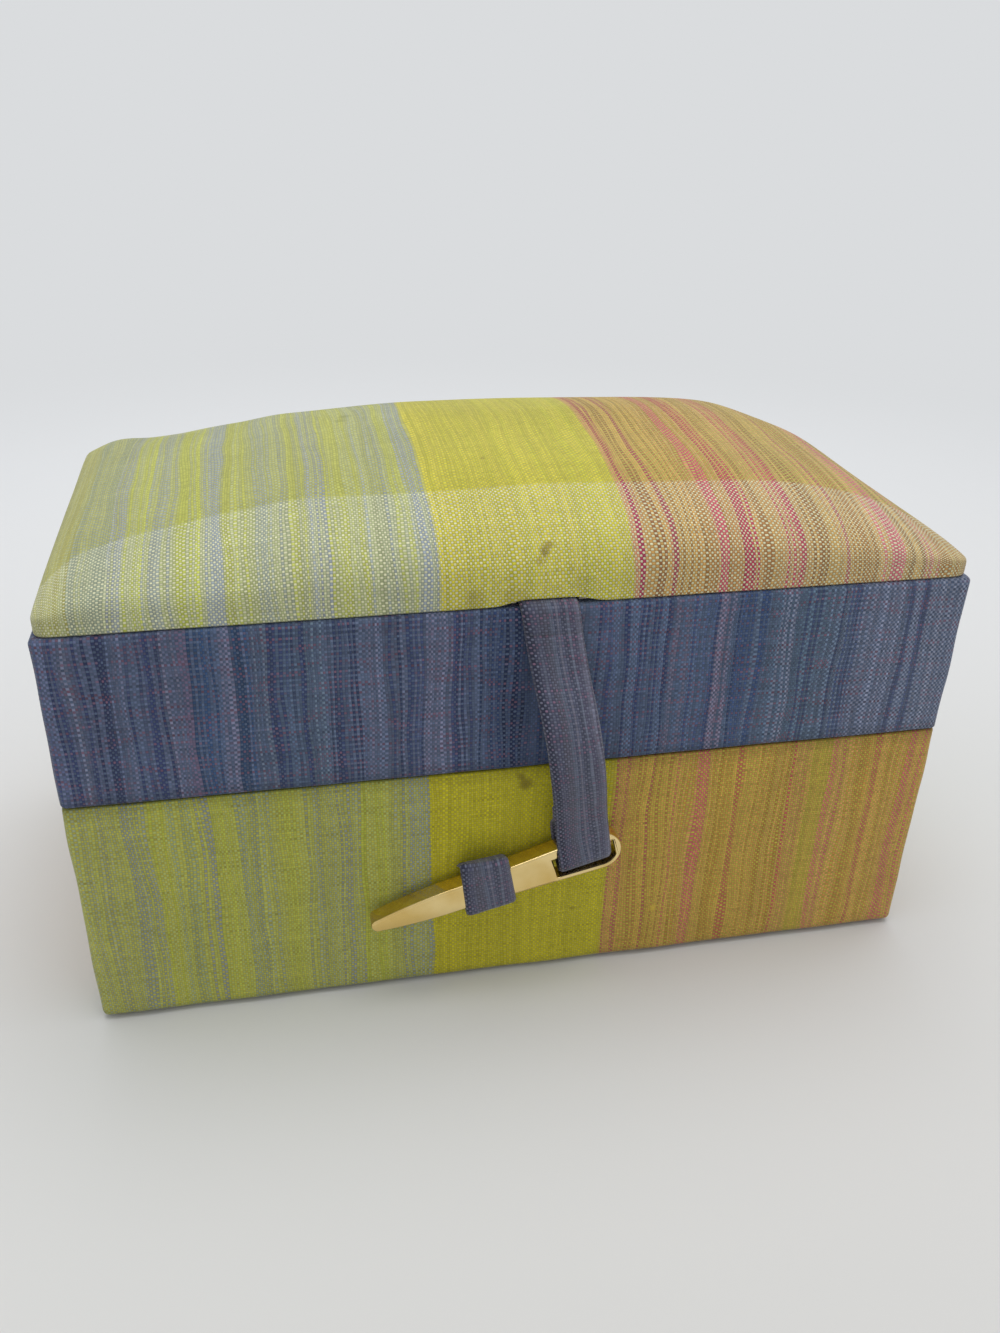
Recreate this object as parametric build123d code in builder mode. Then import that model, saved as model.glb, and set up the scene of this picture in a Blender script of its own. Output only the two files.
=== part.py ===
from build123d import *
from math import cos, radians, sin, tan
import os

os.makedirs("parts", exist_ok=True)

# A small silk-covered keepsake box: a boarded base and lid, a crowned cushion on the lid,
# and a cloth strap that holds a metal toggle, which pushes through a cloth keeper.
# Millimetres. X runs to the right, Y from the front to the back, Z up from the table.

# Box
box_width = 140.0
box_depth = 71.0
base_height = 42.3
lid_height = 27.7
seam_gap = 0.3

# Layers
cloth = 0.5
board = 2.4
lining = 1.0
floor_panel = 3.0
ceiling_panel = 2.0
underside_sheet = 0.5

# Folds, edges and turned-in cloth
wrapped_corner = 1.2
lid_top_fold = 0.8
rim_fold = 0.4
lining_fold = 0.3
panel_edge = 0.5
turn_under = 12.0
rim_turn_in = 8.0
lid_top_turn_in = 8.0
underside_inset = 3.0
lining_step = 0.8

# Cushion on the lid
cushion_height = 14.5
cushion_inset = 0.6
cushion_edge = 2.6
cushion_corner = 1.5
cushion_card = 1.0
cushion_turn_in = 8.0
shoulder_depth = 5.5
shoulder_bend = 1.4
wadding_ease = 0.15
shoulder_rise_share = 0.655
shoulder_bend_share = 0.36
crown_end_share = 0.05
crown_power_share = 3.675
crown_ease_share = 0.884
section_shares = (-1, -0.95, -0.85, -0.68, -0.4, 0, 0.4, 0.68, 0.85, 0.95, 1)

# Cloth hinge along the back
hinge_cloth_thickness = 0.4
hinge_cloth_reach = 10.0
hinge_cloth_inset = 1.5

# Strap: its middle is taken where it leaves the lid, its bulge outward of the box front
strap_width = 8.8
strap_thickness = 0.8
strap_lean = 8.7
strap_middle = 2.2
strap_ease = 0.1
strap_bulge = 7.4
strap_bulge_height = 47.0
strap_tab_length = 12.0
tunnel_ease = 0.3

# Toggle: a tapered flat bar on a slope across the front, measured from its tip
toggle_length = 42.3
toggle_thickness = 3.2
toggle_slope = 16.0
toggle_tip_x = -25.9
toggle_tip_height = 16.85
toggle_standoff = 1.2
toggle_edge = 0.4
tip_depth = 1.2
tip_half = 1.15
neck_at = 6.0
neck_half = 1.85
waist_at = 15.5
waist_half = 2.34
head_depth = 3.5
head_half = 3.55
slot_start = 30.9
slot_length = 10.2
slot_top = 1.4
slot_rim = 0.75
slot_corner = 0.5
slot_edge = 0.2
slot_ease = 0.2

# Keeper: a cloth band over the toggle, its ends glued through the front board
keeper_at = 19.7
keeper_width = 8.2
keeper_thickness = 0.8
keeper_tilt = 8.0
keeper_half_room = 3.0
keeper_ease = 0.3
keeper_bend = 1.4

overrun = 5.0

# Places that follow from the sizes
half_width = box_width / 2
half_depth = box_depth / 2
board_corner = wrapped_corner - cloth
board_half_width = half_width - cloth
board_half_depth = half_depth - cloth
inner_half_width = board_half_width - board
inner_half_depth = board_half_depth - board
lined_half_width = inner_half_width - cloth
lined_half_depth = inner_half_depth - cloth
room_half_width = lined_half_width - lining
room_half_depth = lined_half_depth - lining

cover_bottom = underside_sheet
floor_bottom = cover_bottom + cloth
floor_top = floor_bottom + board
base_rim = base_height - seam_gap / 2
base_board_top = base_rim - cloth
lid_rim = base_height + seam_gap / 2
lid_board_rim = lid_rim + cloth
lid_top = base_height + lid_height
lid_board_top = lid_top - cloth
lid_board_bottom = lid_board_top - board
ceiling_bottom = lid_board_bottom - ceiling_panel

cushion_half_width = half_width - cushion_inset
cushion_half_depth = half_depth - cushion_inset
card_bottom = lid_top + cloth
card_top = card_bottom + cushion_card

sides = {"front": (0, -1), "back": (0, 1), "left": (-1, 0), "right": (1, 0)}


def ring_side(side, outer_half_width, outer_half_depth, thickness):
    """Middle and size of the strip that one side takes of a rectangular ring of panels."""
    toward_x, toward_y = sides[side]
    if toward_y:
        size = (2 * outer_half_width, thickness)
    else:
        size = (thickness, 2 * (outer_half_depth - thickness))
    middle = (
        toward_x * (outer_half_width - thickness / 2),
        toward_y * (outer_half_depth - thickness / 2),
    )
    return middle, size


def side_board(side, bottom, top):
    """An upright board, whose outer ends share the rounding of the wrapped corners."""
    middle, size = ring_side(side, board_half_width, board_half_depth, board)
    with BuildPart() as wall:
        with BuildSketch(Plane.XY.offset(bottom)):
            RectangleRounded(2 * board_half_width, 2 * board_half_depth, board_corner)
            with Locations(middle):
                Rectangle(*size, mode=Mode.INTERSECT)
        extrude(amount=top - bottom)
    return wall.part


def side_lining(side, bottom, top, free_end):
    """A covered card panel along one wall, with rounded long edges at its free end."""
    middle, size = ring_side(side, lined_half_width, lined_half_depth, lining)
    long_axis = Axis.X if size[0] > size[1] else Axis.Y
    with BuildPart() as panel:
        with BuildSketch(Plane.XY.offset(bottom)):
            with Locations(middle):
                Rectangle(*size)
        extrude(amount=top - bottom)
        edges_at_end = panel.edges().group_by(Axis.Z)[free_end]
        fillet(edges_at_end.filter_by(long_axis), radius=lining_fold)
    return panel.part


def block(bottom, top, block_half_width, block_half_depth, corner=0, under=0):
    """An upright block about the middle of the box, with rounded corners and under edges."""
    with BuildPart() as solid:
        with BuildSketch(Plane.XY.offset(bottom)):
            if corner:
                RectangleRounded(2 * block_half_width, 2 * block_half_depth, corner)
            else:
                Rectangle(2 * block_half_width, 2 * block_half_depth)
        extrude(amount=top - bottom)
        if under:
            fillet(solid.edges().group_by(Axis.Z)[0], radius=under)
    return solid.part


def crown_height(share):
    """Rise of the cushion above its edge, at a share of its half width from the middle."""
    rise = (1 - abs(share) ** crown_power_share) ** crown_ease_share
    return (cushion_height - cushion_edge) * (crown_end_share + (1 - crown_end_share) * rise)


def cushion_form(bottom, inset, flat_sided=False):
    """The crowned cushion from a given height up, drawn in all round by an inset.

    Its sections are of arcs, or of straight lines between points on them.
    """
    side_depth = cushion_half_depth - inset
    edge = lid_top + cushion_edge - inset
    with BuildPart() as form:
        for share in section_shares:
            rise = crown_height(share)
            bend = (side_depth - shoulder_bend, edge + rise * shoulder_bend_share)
            shoulder = (side_depth - shoulder_depth, edge + rise * shoulder_rise_share)
            flank = (shoulder[0] / 2, edge + rise * (3 + shoulder_rise_share) / 4)
            with BuildSketch(Plane.YZ.offset(share * (cushion_half_width - inset))):
                with BuildLine():
                    Polyline(
                        (-side_depth, edge),
                        (-side_depth, bottom),
                        (side_depth, bottom),
                        (side_depth, edge),
                    )
                    if flat_sided:
                        Polyline(
                            (side_depth, edge),
                            bend,
                            shoulder,
                            flank,
                            (0, edge + rise),
                            (-flank[0], flank[1]),
                            (-shoulder[0], shoulder[1]),
                            (-bend[0], bend[1]),
                            (-side_depth, edge),
                        )
                    else:
                        ThreePointArc((side_depth, edge), bend, shoulder)
                        ThreePointArc(shoulder, (0, edge + rise), (-shoulder[0], shoulder[1]))
                        ThreePointArc(
                            (-shoulder[0], shoulder[1]),
                            (-bend[0], bend[1]),
                            (-side_depth, edge),
                        )
                make_face()
        loft(ruled=True)
        with BuildSketch(Plane.XY.offset(bottom)):
            RectangleRounded(
                2 * (cushion_half_width - inset),
                2 * side_depth,
                cushion_corner - inset,
            )
        extrude(amount=cushion_height + overrun, mode=Mode.INTERSECT)
    return form.part


# The toggle lies in a plane whose x runs from its tip to its head, and its y up across it.
slope = radians(toggle_slope)
along_toggle = (cos(slope), 0, sin(slope))
toggle_plane = Plane(
    origin=(toggle_tip_x, -half_depth - toggle_standoff, toggle_tip_height),
    x_dir=along_toggle,
    z_dir=(0, -1, 0),
)


def toggle_outline():
    """Draws the toggle's edge: a rounded tip, a tapering bar and a round head."""
    shoulder_at = toggle_length - head_depth
    ThreePointArc((tip_depth, -tip_half), (0, 0), (tip_depth, tip_half))
    ThreePointArc((tip_depth, tip_half), (neck_at, neck_half), (waist_at, waist_half))
    Line((waist_at, waist_half), (shoulder_at, head_half))
    ThreePointArc((shoulder_at, head_half), (toggle_length, 0), (shoulder_at, -head_half))
    Line((shoulder_at, -head_half), (waist_at, -waist_half))
    ThreePointArc((waist_at, -waist_half), (neck_at, -neck_half), (tip_depth, -tip_half))


with BuildPart() as toggle:
    with BuildSketch(toggle_plane):
        with BuildLine():
            toggle_outline()
        make_face()
    extrude(amount=toggle_thickness)
    rims = toggle.edges().group_by(Axis.Y)
    chamfer(rims[0] + rims[-1], length=toggle_edge)
    with BuildSketch(toggle_plane) as slot:
        with BuildLine():
            toggle_outline()
        make_face()
        offset(amount=-slot_rim, mode=Mode.REPLACE)
        with Locations((slot_start, slot_top)):
            Rectangle(
                slot_length,
                toggle_length,
                align=(Align.MIN, Align.MAX),
                mode=Mode.INTERSECT,
            )
        ends = slot.vertices().group_by(Axis.X)
        fillet(ends[0] + ends[-1], radius=slot_corner)
    extrude(amount=toggle_thickness, mode=Mode.SUBTRACT)
    for flat in (toggle.faces().sort_by(Axis.Y)[0], toggle.faces().sort_by(Axis.Y)[-1]):
        chamfer(flat.inner_wires()[0].edges(), length=slot_edge)
toggle.part.label = "toggle"
export_step(toggle.part, "parts/toggle.step")

# The keeper's plane crosses the toggle at the band's left edge, x inward and y up.
keeper_plane = Plane(
    origin=(
        toggle_tip_x + (keeper_at - keeper_width / 2) * cos(slope),
        -half_depth,
        toggle_tip_height + (keeper_at - keeper_width / 2) * sin(slope),
    ),
    x_dir=(0, 1, 0),
    z_dir=(cos(radians(keeper_tilt)), 0, sin(radians(keeper_tilt))),
)
with BuildPart() as keeper_loop:
    face_out = -(toggle_standoff + toggle_thickness + keeper_ease + keeper_thickness / 2)
    leg_up = keeper_half_room + keeper_thickness / 2
    with BuildSketch(keeper_plane):
        with BuildLine():
            FilletPolyline(
                (cloth + board, leg_up),
                (face_out, leg_up),
                (face_out, -leg_up),
                (cloth + board, -leg_up),
                radius=keeper_bend,
            )
        trace(line_width=keeper_thickness)
    extrude(amount=keeper_width, dir=along_toggle)
keeper_loop.part.label = "keeper_loop"
export_step(keeper_loop.part, "parts/keeper_loop.step")

# Boards of the base and the lid, butted at the corners
with BuildPart() as base_floor_board:
    add(
        block(
            floor_bottom,
            floor_top,
            board_half_width,
            board_half_depth,
            corner=board_corner,
        )
    )
base_floor_board.part.label = "base_floor_board"
export_step(base_floor_board.part, "parts/base_floor_board.step")

for side in sides:
    with BuildPart() as base_board:
        add(side_board(side, floor_top, base_board_top))
        if side == "front":
            add(keeper_loop.part, mode=Mode.SUBTRACT)
    base_board.part.label = f"base_{side}_board"
    export_step(base_board.part, f"parts/base_{side}_board.step")

with BuildPart() as lid_top_board:
    add(
        block(
            lid_board_bottom,
            lid_board_top,
            board_half_width,
            board_half_depth,
            corner=board_corner,
        )
    )
lid_top_board.part.label = "lid_top_board"
export_step(lid_top_board.part, "parts/lid_top_board.step")

for side in sides:
    with BuildPart() as lid_board:
        add(side_board(side, lid_board_rim, lid_board_bottom))
    lid_board.part.label = f"lid_{side}_board"
    export_step(lid_board.part, f"parts/lid_{side}_board.step")

# Cloth round the base: over the rim, down inside, and turned under the floor board
with BuildPart() as base_cover:
    add(block(cover_bottom, base_rim, half_width, half_depth, wrapped_corner, wrapped_corner))
    fillet(base_cover.edges().group_by(Axis.Z)[-1], radius=rim_fold)
    add(
        block(
            floor_bottom,
            base_board_top,
            board_half_width,
            board_half_depth,
            board_corner,
        ),
        mode=Mode.SUBTRACT,
    )
    add(
        block(floor_bottom, base_rim, inner_half_width, inner_half_depth),
        mode=Mode.SUBTRACT,
    )
    add(block(base_rim - rim_turn_in, base_rim, inner_half_width, inner_half_depth))
    add(
        block(floor_bottom, base_rim, lined_half_width, lined_half_depth),
        mode=Mode.SUBTRACT,
    )
    add(
        block(cover_bottom, floor_bottom, half_width - turn_under, half_depth - turn_under),
        mode=Mode.SUBTRACT,
    )
    add(keeper_loop.part, mode=Mode.SUBTRACT)
base_cover.part.label = "base_cover"
export_step(base_cover.part, "parts/base_cover.step")

with BuildPart() as base_underside_sheet:
    add(
        block(
            cover_bottom - underside_sheet,
            cover_bottom,
            half_width - underside_inset,
            half_depth - underside_inset,
            corner=wrapped_corner,
        )
    )
base_underside_sheet.part.label = "base_underside_sheet"
export_step(base_underside_sheet.part, "parts/base_underside_sheet.step")

# Cloth band round the lid: over the rim, up inside, and turned in under the cushion
with BuildPart() as lid_band_cover:
    add(block(lid_rim, lid_top, half_width, half_depth, wrapped_corner, rim_fold))
    fillet(lid_band_cover.edges().group_by(Axis.Z)[-1], radius=lid_top_fold)
    add(
        block(
            lid_board_rim,
            lid_board_top,
            board_half_width,
            board_half_depth,
            board_corner,
        ),
        mode=Mode.SUBTRACT,
    )
    add(block(lid_rim, lid_rim + rim_turn_in, inner_half_width, inner_half_depth))
    add(
        block(lid_rim, lid_rim + rim_turn_in, lined_half_width, lined_half_depth),
        mode=Mode.SUBTRACT,
    )
    add(
        block(
            lid_board_top,
            lid_top,
            half_width - lid_top_turn_in,
            half_depth - lid_top_turn_in,
        ),
        mode=Mode.SUBTRACT,
    )
lid_band_cover.part.label = "lid_band_cover"
export_step(lid_band_cover.part, "parts/lid_band_cover.step")

# Linings and loose panels
for side in sides:
    with BuildPart() as base_lining:
        add(side_lining(side, floor_top, base_rim - lining_step, -1))
    base_lining.part.label = f"base_lining_{side}"
    export_step(base_lining.part, f"parts/base_lining_{side}.step")

    with BuildPart() as lid_lining:
        add(side_lining(side, lid_rim + lining_step, ceiling_bottom, 0))
    lid_lining.part.label = f"lid_lining_{side}"
    export_step(lid_lining.part, f"parts/lid_lining_{side}.step")

with BuildPart() as base_floor_pad:
    add(block(floor_top, floor_top + floor_panel, room_half_width, room_half_depth))
    fillet(base_floor_pad.edges().group_by(Axis.Z)[-1], radius=panel_edge)
base_floor_pad.part.label = "base_floor_pad"
export_step(base_floor_pad.part, "parts/base_floor_pad.step")

with BuildPart() as lid_ceiling_panel:
    add(block(ceiling_bottom, lid_board_bottom, lined_half_width, lined_half_depth))
lid_ceiling_panel.part.label = "lid_ceiling_panel"
export_step(lid_ceiling_panel.part, "parts/lid_ceiling_panel.step")

with BuildPart() as hinge_cloth:
    with BuildSketch(Plane.XZ.offset(-half_depth)):
        with Locations((0, base_height)):
            Rectangle(2 * (half_width - hinge_cloth_inset), 2 * hinge_cloth_reach)
    extrude(amount=-hinge_cloth_thickness)
hinge_cloth.part.label = "hinge_cloth"
export_step(hinge_cloth.part, "parts/hinge_cloth.step")

# The strap bends over the lid's folded edge, swings out, passes in front of the toggle's
# upper rim, turns back through the slot and comes up behind to its seam.
lean = radians(strap_lean)
pivot_height = lid_top - lid_top_fold
bend_radius = lid_top_fold + strap_ease + strap_thickness / 2
loop_radius = toggle_thickness / 2 + slot_ease + strap_thickness / 2
loop_middle = toggle_standoff + toggle_thickness / 2
loop_front = loop_middle + loop_radius
loop_back = loop_middle - loop_radius


def slot_height(across):
    """Height at which a long edge of the strap meets the upper edge of the toggle's slot."""
    level_x = strap_middle + across + pivot_height * tan(lean)
    start = toggle_tip_height + slot_top / cos(slope) - toggle_tip_x * tan(slope)
    return (start + level_x * tan(slope)) / (1 + tan(lean) * tan(slope))


def strap_edge(across):
    """The strap's two runs, cut at the foot of its loop, in the plane of one long edge."""
    edge_plane = Plane(
        origin=(strap_middle + across, -half_depth, pivot_height),
        x_dir=(0, 1, 0),
        z_dir=(cos(lean), 0, sin(lean)),
    )
    loop_level = (slot_height(across) - pivot_height) / cos(lean)
    rim_level = loop_level + (head_half - slot_top + slot_ease) / cos(slope)
    bulge_level = (strap_bulge_height - pivot_height) / cos(lean)
    over_edge = lid_top_fold - bend_radius
    falling = ((over_edge - strap_bulge) / 2, bulge_level / 2)
    seam = (-(strap_bulge + loop_front) / 2, (bulge_level + rim_level) / 2)
    seam_back = seam[0] + strap_thickness / 2
    closing = ((seam_back - loop_back) / 2, (rim_level + seam[1]) / 2)
    foot = (-loop_middle, loop_level - loop_radius)
    with BuildSketch(edge_plane) as falling_run:
        with BuildLine():
            JernArc(
                start=(lid_top_fold, bend_radius),
                tangent=(-1, 0),
                radius=bend_radius,
                arc_size=90,
            )
            outward = TangentArc((over_edge, 0), falling, tangent=(0, -1))
            TangentArc(falling, (-strap_bulge, bulge_level), tangent=outward % 1)
            inward = TangentArc((-strap_bulge, bulge_level), seam, tangent=(0, -1))
            TangentArc(seam, (-loop_front, rim_level), tangent=inward % 1)
            Line((-loop_front, rim_level), (-loop_front, loop_level))
            TangentArc((-loop_front, loop_level), foot, tangent=(0, -1))
        trace(line_width=strap_thickness)
    with BuildSketch(edge_plane) as rising_run:
        with BuildLine():
            TangentArc(foot, (-loop_back, loop_level), tangent=(1, 0))
            Line((-loop_back, loop_level), (-loop_back, rim_level))
            leaning = TangentArc((-loop_back, rim_level), closing, tangent=(0, 1))
            TangentArc(closing, (seam_back, seam[1]), tangent=leaning % 1)
        trace(line_width=strap_thickness)
    return falling_run.sketch, rising_run.sketch


with BuildPart() as strap:
    for left_edge, right_edge in zip(strap_edge(-strap_width / 2), strap_edge(strap_width / 2)):
        loft([left_edge, right_edge], ruled=True)
strap.part.label = "strap"
export_step(strap.part, "parts/strap.step")

# The strap's glued end lies in a tunnel under the cushion.
tab_middle = strap_middle - bend_radius * sin(lean)
tab_front = lid_top_fold - half_depth
with BuildPart() as strap_tab:
    with BuildSketch(Plane.XY.offset(lid_top)):
        with Locations((tab_middle, tab_front)):
            Rectangle(strap_width, strap_tab_length, align=(Align.CENTER, Align.MIN))
    extrude(amount=strap_thickness)
strap_tab.part.label = "strap_tab"
export_step(strap_tab.part, "parts/strap_tab.step")

with BuildPart() as tunnel:
    with BuildSketch(Plane.XY.offset(lid_top)):
        with Locations((tab_middle, tab_front + strap_tab_length + tunnel_ease)):
            Rectangle(
                strap_width + 2 * tunnel_ease,
                strap_tab_length + overrun,
                align=(Align.CENTER, Align.MAX),
            )
    extrude(amount=strap_thickness + 2 * strap_ease)

# Cushion: a card, a crowned wadding and the cover drawn over both
with BuildPart() as pad_card:
    add(
        block(
            card_bottom,
            card_top,
            cushion_half_width - cloth,
            cushion_half_depth - cloth,
            corner=cushion_corner - cloth,
        )
    )
    add(tunnel.part, mode=Mode.SUBTRACT)
pad_card.part.label = "pad_card"
export_step(pad_card.part, "parts/pad_card.step")

with BuildPart() as pad_wadding:
    add(cushion_form(card_top, cloth + wadding_ease, flat_sided=True))
pad_wadding.part.label = "pad_wadding"
export_step(pad_wadding.part, "parts/pad_wadding.step")

with BuildPart() as pad_cover:
    add(cushion_form(lid_top, 0))
    add(cushion_form(card_bottom, cloth), mode=Mode.SUBTRACT)
    add(
        block(
            lid_top,
            card_bottom,
            cushion_half_width - cushion_turn_in,
            cushion_half_depth - cushion_turn_in,
        ),
        mode=Mode.SUBTRACT,
    )
    add(tunnel.part, mode=Mode.SUBTRACT)
pad_cover.part.label = "pad_cover"
export_step(pad_cover.part, "parts/pad_cover.step")
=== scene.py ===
"""Looks of a silk-covered keepsake box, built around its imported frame.

Sizes are in millimetres, and turn to metres where a mesh, lamp or camera is made. X runs to the
right, Y from the front to the back, Z up from the table. Every striped cloth carries its own
coordinates in a UV map: millimetres across the warp, and millimetres along it.
"""

from __future__ import annotations

import logging
import math
from dataclasses import dataclass, field
from enum import Enum

import bmesh
import bpy
import numpy as np
from mathutils import Matrix, Vector

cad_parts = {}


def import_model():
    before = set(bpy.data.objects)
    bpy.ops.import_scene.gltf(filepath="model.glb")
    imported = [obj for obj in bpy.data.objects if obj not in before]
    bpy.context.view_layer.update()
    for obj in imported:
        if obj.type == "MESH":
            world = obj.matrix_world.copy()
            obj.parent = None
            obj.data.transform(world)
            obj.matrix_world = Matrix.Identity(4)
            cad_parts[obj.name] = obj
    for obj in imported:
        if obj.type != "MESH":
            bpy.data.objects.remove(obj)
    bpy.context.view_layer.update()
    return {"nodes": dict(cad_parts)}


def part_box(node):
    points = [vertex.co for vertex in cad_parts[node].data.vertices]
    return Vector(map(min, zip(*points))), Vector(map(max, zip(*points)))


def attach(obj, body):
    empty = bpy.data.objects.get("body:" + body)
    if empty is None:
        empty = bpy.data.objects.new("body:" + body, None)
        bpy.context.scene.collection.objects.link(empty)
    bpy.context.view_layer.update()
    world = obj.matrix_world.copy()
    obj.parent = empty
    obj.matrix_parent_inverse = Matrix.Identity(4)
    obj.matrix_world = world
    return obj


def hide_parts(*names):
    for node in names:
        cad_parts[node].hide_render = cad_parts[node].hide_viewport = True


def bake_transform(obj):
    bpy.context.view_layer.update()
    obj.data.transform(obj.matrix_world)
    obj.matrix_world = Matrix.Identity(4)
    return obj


Socket = bpy.types.NodeSocket
Tree = bpy.types.NodeTree
Material = bpy.types.Material
Piece = bpy.types.Object
Stripes = tuple[tuple[float, str], ...]
Span = tuple[float, float, float]
Ends = tuple[tuple[float, float], tuple[float, float]]

MM = 0.001
TURN = 2 * math.pi
CLOTH_MAP = "cloth"
# a Mix node of colours takes its share and colours at sockets 0, 6 and 7
COLOURS = {"out": 2, "data_type": "RGBA"}
LOG = logging.getLogger("keepsake_box")


# Nodes and colours


def linear(colour: str) -> tuple[float, float, float, float]:
    """Turns an sRGB hex colour to linear light.

    Args:
        colour: six hex digits after a #.

    Returns:
        Red, green, blue and alpha, as shader sockets take them.
    """
    parts = [int(colour[i : i + 2], 16) / 255 for i in (1, 3, 5)]
    light = [p / 12.92 if p <= 0.04045 else ((p + 0.055) / 1.055) ** 2.4 for p in parts]
    return (*light, 1.0)


def add(
    tree: Tree,
    kind: str,
    inputs: dict[int | str, object] | None = None,
    out: int | str = 0,
    **settings: object,
) -> Socket:
    """Adds one shader node with its settings, values and links.

    Args:
        tree: the material's or world's node tree.
        kind: the node's type, without its ShaderNode prefix.
        inputs: values or sockets for its inputs, by index or name.
        out: which of its outputs to hand back.
        settings: the node's own properties.

    Returns:
        The chosen output socket.
    """
    made = tree.nodes.new(f"ShaderNode{kind}")
    for key, value in settings.items():
        setattr(made, key, value)
    for key, value in (inputs or {}).items():
        if isinstance(value, Socket):
            tree.links.new(value, made.inputs[key])
        else:
            made.inputs[key].default_value = value
    return made.outputs[out] if len(made.outputs) else made.inputs[0]


def fill_ramp(socket: Socket, stops: list[tuple[float, str]], soft: bool) -> None:
    """Gives a colour ramp its stops.

    Args:
        socket: the ramp's colour output.
        stops: places from 0 to 1 and hex colours, in order, 32 at most.
        soft: whether the colours run into each other.
    """
    ramp = socket.node.color_ramp
    ramp.interpolation = "LINEAR" if soft else "CONSTANT"
    while len(ramp.elements) > 1:
        ramp.elements.remove(ramp.elements[0])
    ramp.elements[0].position = stops[0][0]
    ramp.elements[0].color = linear(stops[0][1])
    for place, colour in stops[1:]:
        ramp.elements.new(place).color = linear(colour)


def new_material(name: str) -> tuple[Material, Tree]:
    """Makes an empty node material.

    Args:
        name: the real material's name and how it was made.

    Returns:
        The material and its node tree.
    """
    material = bpy.data.materials.new(name)
    material.use_nodes = True
    material.node_tree.nodes.clear()
    return material, material.node_tree


# Finishes


@dataclass(frozen=True)
class Stain:
    """A small mark on a cloth, placed in the cloth's own millimetres."""

    across: float
    along: float
    radius: float
    strength: float
    colour: str = "#5A4A1E"


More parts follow.
